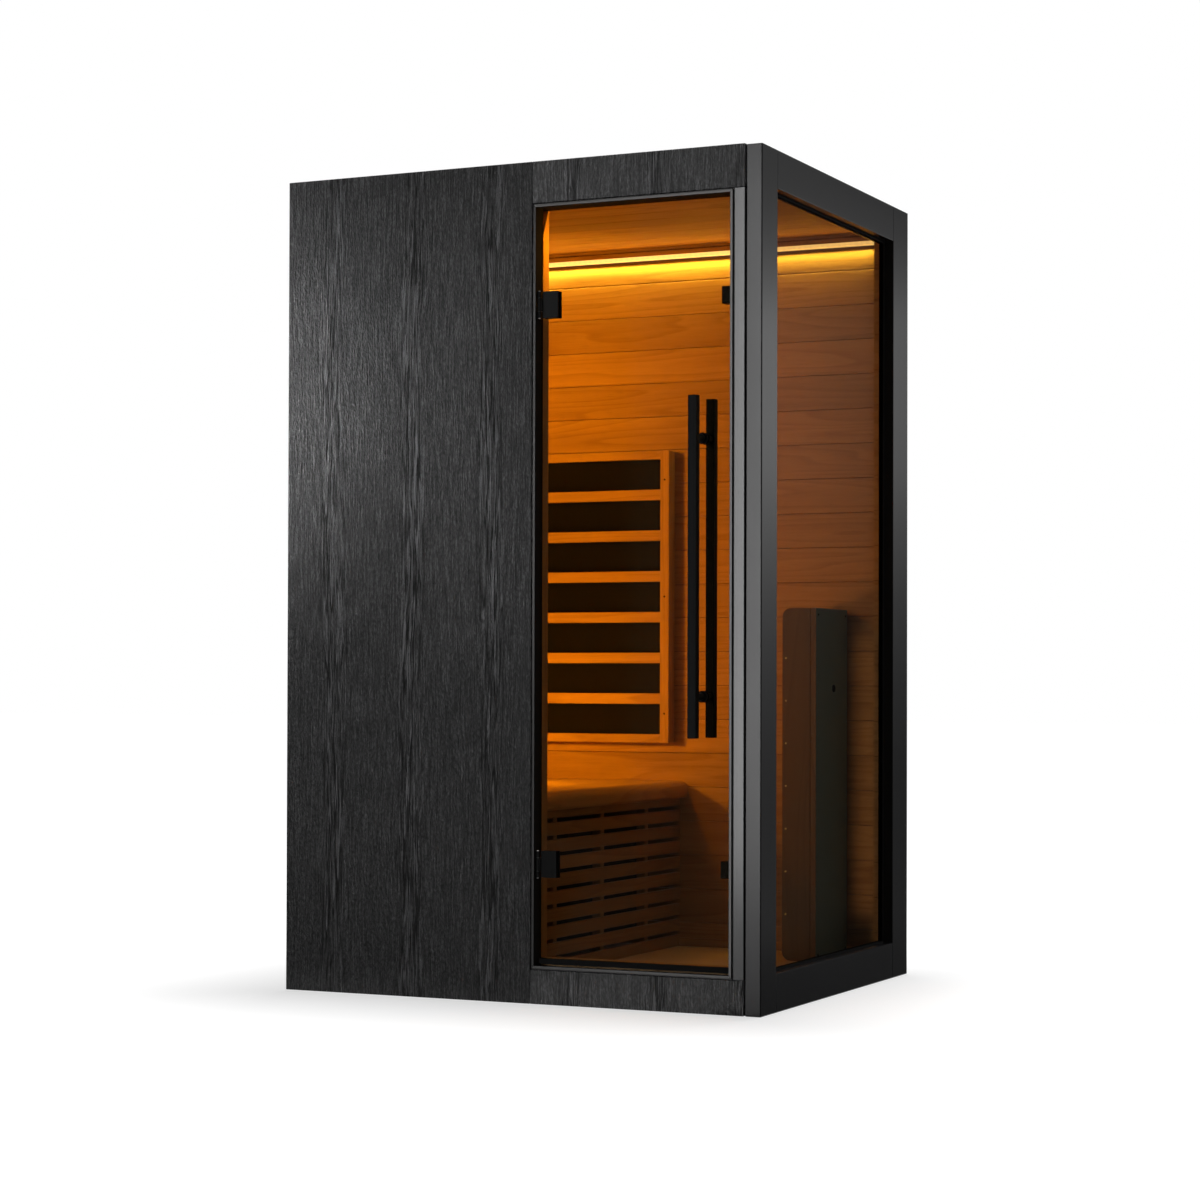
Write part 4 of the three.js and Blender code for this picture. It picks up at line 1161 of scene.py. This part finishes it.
class CABIN_OT_door(bpy.types.Operator):
    """Door pane with its clamps, sweep, handle bars and standoffs"""

    bl_idname = "cabin.door"
    bl_label = "Door"

    def execute(self, context):
        s = context.scene.cabin_sizes
        glass = pane("door_pane", tinged(colours().door_tint), 0.04)
        dress(["door_glass"], glass, "bronze_glass", 0.7 * MM, "door")
        dress(["door_sweep"], rubber(), "sweep_rubber", 0.6 * MM, "door")
        bars = ["handle_outer_bar", "handle_inner_bar"]
        dress(bars, hardware(), "black_hardware", s.bar_edge, "door", 3)
        clamps = ["hinge_clamp_lower", "hinge_clamp_upper"]
        dress(clamps, hardware(), "black_hardware", s.trim_edge, "door")
        for where in PAIR:
            self.standoff(f"handle_standoff_{where}")
            screw_pair(f"hinge_clamp_{where}", False, 14 * MM, s.screw_radius, "door")
        return {"FINISHED"}

    @staticmethod
    def standoff(node):
        """Turned standoff with a collar and a soft washer on each face of the pane."""
        a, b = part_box(node)
        glass_low, glass_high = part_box("door_glass")
        centre = ((a.x + b.x) / 2, 0.0, (a.z + b.z) / 2)
        collar = (b.x - a.x) / 2
        neck, stud, chamfer, flare, washer = 8 * MM, 5 * MM, 0.8 * MM, 2 * MM, 0.3 * MM
        front, back = glass_low.y - washer, glass_high.y + washer
        thick = 4 * MM
        profile = [
            (0, a.y), (neck, a.y), (neck, front - thick - flare), (neck + flare / 2, front - thick),
            (collar - chamfer, front - thick), (collar, front - thick + chamfer), (collar, front),
            (stud, front), (stud, back), (collar, back), (collar, back + thick - chamfer),
            (collar - chamfer, back + thick), (neck + flare / 2, back + thick),
            (neck, back + thick + flare), (neck, b.y), (0, b.y),
        ]
        shape = turned(profile, centre, "y")
        place(f"{node}_body", shape, hardware(), "door", [node], "black_hardware")


class CABIN_OT_bench(bpy.types.Operator):
    """Bench seat with its rounded nose, slatted front and the calf heater behind it"""

    bl_idname = "cabin.bench"
    bl_label = "Bench"

    def execute(self, context):
        self.seat()
        self.grille(context.scene.cabin_sizes.slat_edge)
        dress(["calf_emitter"], carbon_sheet(), "emitter_black", 0.6 * MM)
        return {"FINISHED"}

    @staticmethod
    def seat():
        """Seat boards along the wall and the nose in front of them."""
        a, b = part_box("bench_seat")
        nose_wide, big, small, steps = 42 * MM, 26 * MM, 8 * MM, 12
        nose_left = b.x - nose_wide
        section = [(nose_left, b.z), (nose_left, a.z)]
        rounds = (b.x - small, a.z + small, small, -90), (b.x - big, b.z - big, big, 0)
        for x, z, radius, start in rounds:
            for i in range(steps + 1):
                turn = math.radians(start + 90 * i / steps)
                section.append((x + radius * math.cos(turn), z + radius * math.sin(turn)))
        nose = new_mesh("nose", prism(section, a.y, b.y))
        nose.materials.append(plank_wood("y"))
        nose.polygons.foreach_set("use_smooth", [True] * len(nose.polygons))
        nose.set_sharp_from_angle(angle=math.radians(30))
        mark_boards(nose, 3)
        thick, gap, edge, count = 18 * MM, 0.8 * MM, 1.4 * MM, 6
        pitch = (nose_left - a.x) / count
        planks = boards(
            (b.y - a.y, pitch - gap, thick), (a.x, a.y, b.z - thick), (pitch, 0, 0), count,
            (0, 1, 0), (1, 0, 0), (0, 0, 1), plank_wood("y"), edge, 19,
        )
        show("bench_seat_boards", [nose, planks], ["bench_seat"], "plank_wood")

    @staticmethod
    def grille(edge):
        """Slats across three battens."""
        a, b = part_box("bench_grille")
        run = b.y - a.y
        slat, gap, thick, top = 30 * MM, 10 * MM, 12 * MM, 20 * MM
        spread = {"along": (0, 1, 0), "across": (0, 0, -1), "out": (1, 0, 0)}
        spread.update(material=shaded_bench_wood(), edge=edge)
        x = b.x - thick
        rows = [boards((run, top, thick), (x, a.y, b.z), (0, 0, 0), 1, seed=2, **spread)]
        first = b.z - top - gap
        count = math.ceil((first - a.z - 2 * gap) / (slat + gap))
        last = (first - (count - 1) * (slat + gap) - a.z) / slat
        rows.append(boards(
            (run, slat, thick), (x, a.y, first), (0, 0, -slat - gap), count,
            seed=4, last=min(1.0, last), **spread,
        ))
        batten, first_batten, batten_pitch = 20 * MM, 160 * MM, 260 * MM
        for i in range(3):
            y = a.y + first_batten + i * batten_pitch - batten / 2
            corners = (a.x, y, a.z), (x + thick / 4, y + batten, b.z)
            rows.append(board(*corners, "z", "x", shaded_bench_wood(), 1.5 * MM, 7 + i))
        show("bench_front_slats", rows, ["bench_grille"], "plank_wood")


class CABIN_OT_heaters(bpy.types.Operator):
    """Slatted wall heaters with their emitters and screws"""

    bl_idname = "cabin.heaters"
    bl_label = "Wall heaters"

    def execute(self, context):
        self.heater("back_heater", "x", "-y")
        self.heater("left_heater", "y", "x")
        emitters = ["back_heater_emitter", "left_heater_emitter"]
        dress(emitters, carbon_sheet(), "emitter_black", 0.6 * MM)
        return {"FINISHED"}

    @staticmethod
    def heater(name, wide, out):
        """Stiles, rails and slats of one heater, its box behind them and screws in the stiles."""
        a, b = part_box(f"{name}_frame")
        stile, rail, slat, thick, cells = 25 * MM, 22 * MM, 27 * MM, 12 * MM, 7
        axis = "xyz".index(wide)
        normal = direction(out)
        face_axis = "xyz".index(out[-1])
        front = b[face_axis] if normal[face_axis] > 0 else a[face_axis]
        depth = b[face_axis] - a[face_axis]
        cell = (b.z - a.z - 2 * rail - (cells - 1) * slat) / cells
        w0, w1 = a[axis], b[axis]

        def slab(wides, heights, depths, along, seed, edge):
            """A board between two widths, two heights and two depths behind the front."""
            p, q = (Vector((0, 0, z)) for z in heights)
            p[axis], q[axis] = wides
            p[face_axis], q[face_axis] = sorted(front - normal[face_axis] * d for d in depths)
            return board(p, q, along, out, plank_wood(along), edge, seed)

        between = w0 + stile, w1 - stile
        sunk = 0.4 * MM, thick
        flat = [slab(between, (a.z, a.z + rail), sunk, wide, 1, 1.3 * MM)]
        for i in range(1, cells):
            z = a.z + rail + cell + (i - 1) * (cell + slat)
            flat.append(slab(between, (z, z + slat), sunk, wide, 3 * i + 1, 1.3 * MM))
        flat.append(slab(between, (b.z - rail, b.z), sunk, wide, 29, 1.3 * MM))
        upright = []
        for i, w in enumerate((w0, w1 - stile)):
            upright.append(slab((w, w + stile), (a.z, b.z), (0, thick), "z", 31 + i, 1.6 * MM))
        side, back, edge = 12 * MM, 1 * MM, 1.0 * MM
        behind = thick - 0.5 * MM, depth
        for w in (w0 + back, w1 - side - back):
            upright.append(slab((w, w + side), (a.z + back, b.z - back), behind, "z", 41, edge))
        for z in (a.z + back, b.z - side - back):
            flat.append(slab((w0 + side, w1 - side), (z, z + side), behind, wide, 43, edge))
        show(f"{name}_slats", flat, [f"{name}_frame"], "heater_wood")
        show(f"{name}_stiles", upright, (), "heater_wood")
        points = []
        for w in (w0 + stile / 2, w1 - stile / 2):
            for share in (0.10, 0.5, 0.90):
                spot = Vector((0, 0, a.z + (b.z - a.z) * share))
                spot[axis] = w
                spot[face_axis] = front + normal[face_axis] * 0.2 * MM
                points.append(spot)
        screws(f"{name}_screws", points, normal, hardware(), 2.6 * MM, 0.8 * MM, "black_hardware")


class CABIN_OT_tower(bpy.types.Operator):
    """Heater tower: wooden case, slatted front, emitter and grey cover"""

    bl_idname = "cabin.tower"
    bl_label = "Heater tower"

    def execute(self, context):
        dress(["tower_case"], tower_wood("z"), "tower_wood", 1.6 * MM)
        dress(["tower_grille"], tower_wood("y"), "tower_wood", 1.2 * MM)
        dress(["tower_emitter"], carbon_sheet(), "emitter_black", 0.6 * MM)
        grey = powder_coat("cover_grey", tinged(colours().cover), 0.5)
        dress_bar("tower_back_cover", grey, tower_wood("z"), "cover_grey", 1.2 * MM)
        self.cap()
        self.cover_screws()
        self.case_screws()
        return {"FINISHED"}

    @staticmethod
    def cap():
        """Round dished cap in the cover."""
        steps = (0, 0), (9, 0), (9, 1.6), (8, 2.6), (5.5, 2.6), (5, 1.2), (0, 1.2)
        profile = [(radius * MM, height * MM) for radius, height in steps]
        centre = (high("tower_back_cover").x - 0.2 * MM, 330 * MM, 710 * MM)
        place("tower_cap", turned(profile, centre, "x", 28), rubber(), "cabin", (), "sweep_rubber")

    @staticmethod
    def cover_screws():
        """One screw in each corner of the cover."""
        a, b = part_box("tower_back_cover")
        aside, inside = 14 * MM, 16 * MM
        ys, zs = (a.y + aside, b.y - aside), (a.z + inside, b.z - inside)
        points = [(b.x + 0.3 * MM, y, z) for y in ys for z in zs]
        screws("tower_cover_screws", points, (1, 0, 0), hardware(), 3.0 * MM, 1.0 * MM, "black_hardware")

    @staticmethod
    def case_screws():
        """A row of brass screws down the case's front edge."""
        top, pitch, count, inset = 783.9 * MM, 103.7 * MM, 7, 10 * MM
        corner = low("tower_case")
        points = [(corner.x + inset, corner.y - 0.3 * MM, top - i * pitch) for i in range(count)]
        brass = dark_metal("brass", (0.62, 0.44, 0.20), 0.32, "z")
        screws("tower_case_screws", points, (0, -1, 0), brass, 2.4 * MM, 1.0 * MM, "pin_steel")


class CABIN_OT_led(bpy.types.Operator):
    """LED channel under the ceiling and its lit diffuser"""

    bl_idname = "cabin.led"
    bl_label = "LED line"

    def execute(self, context):
        channel = powder_coat("led_channel", (0.12, 0.055, 0.010), 0.6)
        dress(["led_profile"], channel, "black_hardware", 0.6 * MM)
        dress(["led_strip"], led_diffuser(), "led_diffuser", 1.2 * MM, segments=3)
        a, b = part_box("led_profile")
        lap, clear = 10 * MM, 0.4 * MM
        foot, top = high("led_strip").z - lap, low("ceiling_lining").z - clear
        corners = (a.x, a.y, foot), (b.x, low("led_strip").y - clear, top)
        lip = board(*corners, "x", "-y", plank_wood("x"), 0.8 * MM)
        show("led_lip", [lip], (), "plank_wood")
        return {"FINISHED"}


class CABIN_OT_power(bpy.types.Operator):
    """Power box in the roof and the mains inlet with its pins"""

    bl_idname = "cabin.power"
    bl_label = "Power"

    def execute(self, context):
        grey = powder_coat("box_grey", (0.34, 0.35, 0.36), 0.5)
        dress(["power_box"], grey, "box_grey", 2.0 * MM, segments=3)
        black = powder_coat("inlet_black", (0.016, 0.016, 0.017), 0.45)
        dress(["power_inlet"], black, "black_hardware", 0.6 * MM)
        a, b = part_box("power_inlet")
        middle = (a + b) / 2
        middle.z = a.z + 3 * MM
        half, tall = Vector((1 * MM, 2 * MM, 0)), Vector((0, 0, 16 * MM))
        pins = []
        for dx, dy in ((-7, -2), (7, -2), (0, 4)):
            spot = middle + Vector((dx, dy, 0)) * MM
            pins.append(board(spot - half, spot + half + tall, "z", "x", pin_steel(), 0.4 * MM))
        show("power_inlet_pins", pins, (), "pin_steel")
        return {"FINISHED"}


class CABIN_OT_controls(bpy.types.Operator):
    """Control panel beside the door with its two keys and their signs"""

    bl_idname = "cabin.controls"
    bl_label = "Controls"

    def execute(self, context):
        black = powder_coat("panel_black", (0.013, 0.013, 0.014), 0.28)
        dress(["control_panel"], black, "panel_black", 2.0 * MM, segments=3)
        for use, body in (("power", "power_key"), ("light", "light_key")):
            self.key(f"{use}_button", body)
        self.signs()
        return {"FINISHED"}

    @staticmethod
    def key(node, body):
        """Round key with a dished face; its tapered foot clears the pocket's rounded floor."""
        a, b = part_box(node)
        radius, tall = (b.x - a.x) / 2, b.y - a.y
        foot, taper, rim = 0.4 * MM, 2.6 * MM, 1.2 * MM
        profile = [
            (0, foot), (radius - taper, foot), (radius, foot + taper), (radius, tall - rim),
            (radius - 0.4 * MM, tall - 0.35 * MM), (radius - rim, tall),
            (radius - rim - 1 * MM, tall - 0.1 * MM), (radius * 0.5, tall - 0.5 * MM),
            (0, tall - 0.6 * MM),
        ]
        shape = turned(profile, ((a.x + b.x) / 2, a.y, (a.z + b.z) / 2), "y", 40)
        place(f"{node}_cap", shape, pin_steel(), body, [node], "pin_steel")

    @staticmethod
    def signs():
        """A power sign above the upper key, a lamp sign below the lower one, a rule between them."""
        a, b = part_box("control_panel")
        face, x = b.y + 0.1 * MM, (a.x + b.x) / 2
        inset, bold, fine, hair = 22 * MM, 0.45 * MM, 0.4 * MM, 0.3 * MM

        def spot(z, radius, degrees):
            turn = math.radians(degrees)
            return x + radius * math.sin(turn), face, z + radius * math.cos(turn)

        def arc(z, radius, start, end, steps=18):
            return [spot(z, radius, start + (end - start) * i / steps) for i in range(steps + 1)]

        upper, lower, middle = b.z - inset, a.z + inset, (a.z + b.z) / 2
        lines = [bead(arc(upper, 5 * MM, 35, 325), bold, ink())]
        lines.append(bead([(x, face, upper + 1 * MM), (x, face, upper + 6 * MM)], bold, ink()))
        lines.append(bead(arc(lower, 3 * MM, 0, 360), bold, ink()))
        for i in range(8):
            ray = [spot(lower, radius, 45 * i) for radius in (4.6 * MM, 6.4 * MM)]
            lines.append(bead(ray, fine, ink()))
        lines.append(bead([(x - 20 * MM, face, middle), (x + 20 * MM, face, middle)], hair, ink()))
        show("control_signs", lines, (), "panel_black")


class CABIN_OT_stage(bpy.types.Operator):
    """Camera, pale floor, white surroundings and lamps"""

    bl_idname = "cabin.stage"
    bl_label = "Stage"

    def execute(self, context):
        self.light = context.scene.cabin_light
        context.scene.view_settings.view_transform = "Standard"
        self.camera(context.scene)
        self.world(context.scene)
        self.floor()
        self.cards()
        self.lamps()
        return {"FINISHED"}

    @staticmethod
    def camera(scene):
        """The photograph's viewpoint."""
        stand = Vector((2.7772, -5.9515, 0.7283))
        yaw, pitch, roll = (math.radians(angle) for angle in (25.148, 0.786, 0.161))
        level = math.cos(pitch)
        ahead = Vector((-math.sin(yaw) * level, math.cos(yaw) * level, math.sin(pitch)))
        right = Vector((math.cos(yaw), math.sin(yaw), 0.0))
        up = right.cross(ahead)
        turned_right = right * math.cos(roll) + up * math.sin(roll)
        turned_up = up * math.cos(roll) - right * math.sin(roll)
        data = bpy.data.cameras.new("camera")
        data.sensor_width = 36.0
        data.lens = 81.28
        data.shift_y = 0.036
        data.clip_end = 200.0
        camera = bpy.data.objects.new("camera", data)
        axes = Matrix((turned_right, turned_up, -ahead)).transposed().to_4x4()
        camera.matrix_world = Matrix.Translation(stand) @ axes
        scene.collection.objects.link(camera)
        scene.camera = camera

    @staticmethod
    def white_share(graph):
        """1 for rays that see the surroundings as a picture, 0 for rays that only gather light."""
        rays = graph.node("ShaderNodeLightPath")
        seen = rays["Is Camera Ray"].at_least(rays["Is Glossy Ray"])
        return seen.at_least(rays["Is Transmission Ray"])

    def world(self, scene):
        """White where it is seen, plain grey light where it only lights."""
        scene.world = bpy.data.worlds.new("studio")
        scene.world.use_nodes = True
        graph = Graph(scene.world.node_tree)
        graph.tree.nodes.clear()
        even = graph.node(
            "ShaderNodeBackground", None, {"Color": (1, 1, 1, 1), "Strength": self.light.world}
        )
        white = graph.node("ShaderNodeBackground", None, {"Color": (1, 1, 1, 1), "Strength": 1.0})
        share = self.white_share(graph)
        mixed = graph.node("ShaderNodeMixShader", None, {0: share, 1: even, 2: white})
        graph.node("ShaderNodeOutputWorld", None, {"Surface": mixed})

    def floor(self):
        """A wide pale floor that keeps the cabin's shadow."""
        f = Finish("studio_floor")
        grain = f.noise(f.place(), 3.0, 2.0)
        tint = f.blend(grain, (0.44, 0.44, 0.44), (0.46, 0.46, 0.46))
        matt = f.node("ShaderNodeBsdfDiffuse", None, {"Color": tint})
        a, b = (Vector(corner) for corner in CAD_BOX)
        x, y, _ = f.axes()
        aside = (abs(x - (a.x + b.x) / 2) - (b.x - a.x) / 2).at_least(0.0)
        before = (abs(y - (a.y + b.y) / 2) - (b.y - a.y) / 2).at_least(0.0)
        away = (aside * aside + before * before) ** 0.5
        far = f.ramp(away, (0.0, self.light.floor_lift), (0.60, 1.0))
        share = f.shade(far, self.white_share(f))
        white = f.node("ShaderNodeEmission", None, {"Color": share, "Strength": 1.0})
        material = f.done(f.node("ShaderNodeAddShader", None, {0: matt, 1: white}))
        shape = bmesh.new()
        bmesh.ops.create_grid(shape, x_segments=4, y_segments=4, size=40.0)
        mesh = new_mesh("studio_floor", shape)
        mesh.materials.append(material)
        floor = bpy.data.objects.new("studio_floor", mesh)
        floor.location.z = -0.0005
        bpy.context.scene.collection.objects.link(floor)

    @staticmethod
    def card(name, sheets, upward, sideways):
        """A card that only shows in gloss, graded over three metres upward and two to the right."""
        f = Finish(name)
        x, _, z = f.axes()
        tone = f.blend(1.0, f.ramp(z * (1 / 3), *upward), f.ramp(x * 0.5, *sideways), "MULTIPLY")
        shape = bmesh.new()
        for corners in sheets:
            shape.faces.new([shape.verts.new(corner) for corner in corners])
        mesh = new_mesh(name, shape)
        glow = f.node("ShaderNodeEmission", None, {"Color": tone, "Strength": 1.5})
        mesh.materials.append(f.done(glow))
        card = bpy.data.objects.new(name, mesh)
        bpy.context.scene.collection.objects.link(card)
        card.visible_camera = False
        card.visible_diffuse = False
        card.visible_shadow = False

    def cards(self):
        """A graded card behind the right side, a dark one far in front, dark ground before the panel."""
        ahead = Vector((0.37, 0.93, 0.0)).normalized()
        side = Vector((ahead.y, -ahead.x, 0.0))
        foot = Vector((0.6, 0.0, 0.002)) + ahead * 1.7
        near = Vector((0.49, 0.0, 0.002))
        edges = (-2.0, 0.0), (2.6, 0.0), (2.6, 3.0), (-2.0, 3.0)
        wall = [foot + side * w + Vector((0, 0, h)) for w, h in edges]
        ground = [near + Vector(c) for c in ((0, -0.5, 0), (2.4, -0.9, 0))]
        ground += [wall[1], wall[0], near + Vector((0, 0.6, 0))]
        upward = (
            (0.0, 0.12), (0.09, 0.11), (0.165, 0.12), (0.245, 0.18), (0.32, 0.29),
            (0.40, 0.51), (0.45, 0.72), (0.51, 0.80), (0.60, 0.80), (0.64, 0.50),
            (0.68, 0.31), (0.73, 0.20), (1.0, 0.16),
        )
        sideways = (0.40, 0.36), (0.495, 0.40), (0.685, 1.0)
        self.card("graded_card", [wall, ground], upward, sideways)
        away = Vector((-0.45, -0.89, 0.0)).normalized()
        across = Vector((-away.y, away.x, 0.0))
        middle = Vector((0.0, -0.49, 0.0)) + away * 6.5
        edges = (-9.0, 0.0), (0.5, 0.0), (0.5, 5.0), (-9.0, 5.0)
        screen = [middle + across * w + Vector((0, 0, h)) for w, h in edges]
        corners = (-9.0, -0.52), (0.0, -0.52), (-1.6, -4.2), (-9.0, -4.2)
        apron = [Vector((x, y, 0.01)) for x, y in corners]
        self.card("dark_card", [screen, apron], ((0.0, 0.04),), ((0.0, 1.0),))

    @staticmethod
    def shine(name, kind, spot, watts, tint):
        """A lamp that only lights."""
        data = bpy.data.lights.new(name, kind)
        data.energy = watts
        data.color = tint
        lamp = bpy.data.objects.new(name, data)
        lamp.location = spot
        lamp.visible_camera = False
        bpy.context.scene.collection.objects.link(lamp)
        return lamp

    def panel(self, name, spot, target, size, watts, spread=180.0, tint=(1.0, 1.0, 1.0)):
        """A soft rectangular lamp with a beam of some degrees."""
        lamp = self.shine(name, "AREA", spot, watts, tint)
        lamp.data.shape = "RECTANGLE"
        lamp.data.size, lamp.data.size_y = size
        lamp.data.spread = math.radians(spread)
        lamp.rotation_euler = (Vector(target) - Vector(spot)).to_track_quat("-Z", "Y").to_euler()
        return lamp

    def lamps(self):
        """Soft studio lamps outside, the LED line and its spill inside."""
        light = self.light
        spot, target = (-2.0, -2.1, 1.50), (-0.93, -0.49, 1.40)
        self.panel("key_lamp", spot, target, (0.30, 0.40), light.key_watts, 32.0)
        spot, target = (-0.75, -4.3, 1.35), (-0.75, -3.3, 1.35)
        self.panel("strip_lamp", spot, target, (0.54, 2.8), light.strip_watts, 64.0)
        spot, target = (-1.2, -2.0, 1.35), (-0.07, -0.49, 1.3)
        self.panel("fill_lamp", spot, target, (0.08, 1.0), light.fill_watts, 14.0)
        self.panel("top_lamp", (0.3, 1.0, 5.0), (0.3, 1.0, 0.0), (3.0, 3.0), light.top_watts)
        amber, yellow = tinged(colours().amber), tinged(colours().glow)
        peach = (1.0, 0.7, 0.4)
        a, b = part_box("led_profile")
        line = Vector(((a.x + b.x) / 2, b.y - 12 * MM, a.z - 3 * MM))
        size = b.x - a.x, 12 * MM
        target = line + Vector((0.0, 0.25, -1.0))
        wash = self.panel("glow_lamp", line, target, size, light.glow_watts, 180.0, yellow)
        target = line + Vector((0.0, -1.0, -0.6))
        spill = self.panel("spill_lamp", line, target, size, light.spill_watts, 180.0, amber)
        x = (high("tower_back_cover").x + low("rear_corner_post").x) / 2 + 5 * MM
        spot, target = (x, -0.25, 0.5), (x, 0.5, 0.5)
        corner = self.panel("corner_lamp", spot, target, (0.02, 0.7), light.corner_watts, 9.0, peach)
        spot, target = (0.48, -0.40, 1.76), (0.05, -0.43, 1.71)
        jamb = self.panel("jamb_lamp", spot, target, (0.03, 0.03), light.jamb_watts, 40.0, amber)
        upper = self.shine("high_lamp", "SPOT", (-0.35, -0.12, 1.42), light.high_watts, amber)
        lower = self.shine("low_lamp", "POINT", (-0.36, -0.04, 0.67), light.low_watts, amber)
        upper.data.spot_size, upper.data.spot_blend = math.radians(178.0), 0.4
        upper.rotation_euler = Vector((-0.36, 1.0, -0.2)).to_track_quat("-Z", "Y").to_euler()
        for lamp in (upper, lower):
            lamp.data.shadow_soft_size = 0.035
        for lamp in (wash, spill, corner, jamb, upper, lower):
            lamp.visible_glossy = False


OPERATORS = (
    CABIN_OT_stage, CABIN_OT_walls, CABIN_OT_side_window, CABIN_OT_lining,
    CABIN_OT_door_frame, CABIN_OT_door, CABIN_OT_bench, CABIN_OT_heaters,
    CABIN_OT_tower, CABIN_OT_led, CABIN_OT_power, CABIN_OT_controls,
)


class CABIN_PT_panel(bpy.types.Panel):
    """Sidebar panel with the cabin's settings and pieces"""

    bl_idname = "CABIN_PT_panel"
    bl_label = "Cabin"
    bl_space_type = "VIEW_3D"
    bl_region_type = "UI"
    bl_category = "Cabin"

    def draw(self, context):
        layout = self.layout
        for group in (context.scene.cabin_sizes, context.scene.cabin_colours, context.scene.cabin_light):
            box = layout.box()
            for name in group.__annotations__:
                box.prop(group, name)
        for operator in OPERATORS:
            layout.operator(operator.bl_idname)


GROUPS = {"cabin_sizes": CabinSizes, "cabin_colours": CabinColours, "cabin_light": CabinLight}


def register():
    """Registers the classes and the scene's settings."""
    for group in GROUPS.values():
        bpy.utils.register_class(group)
    for name, group in GROUPS.items():
        setattr(bpy.types.Scene, name, bpy.props.PointerProperty(type=group))
    for operator in OPERATORS:
        bpy.utils.register_class(operator)
    bpy.utils.register_class(CABIN_PT_panel)


def unregister():
    """Takes the classes and the settings out again."""
    bpy.utils.unregister_class(CABIN_PT_panel)
    for operator in reversed(OPERATORS):
        bpy.utils.unregister_class(operator)
    for name in GROUPS:
        delattr(bpy.types.Scene, name)
    for group in reversed(list(GROUPS.values())):
        bpy.utils.unregister_class(group)


def main():
    """Builds the whole cabin."""
    register()
    for operator in OPERATORS:
        group, name = operator.bl_idname.split(".")
        getattr(getattr(bpy.ops, group), name)()


if __name__ == "__main__":
    main()
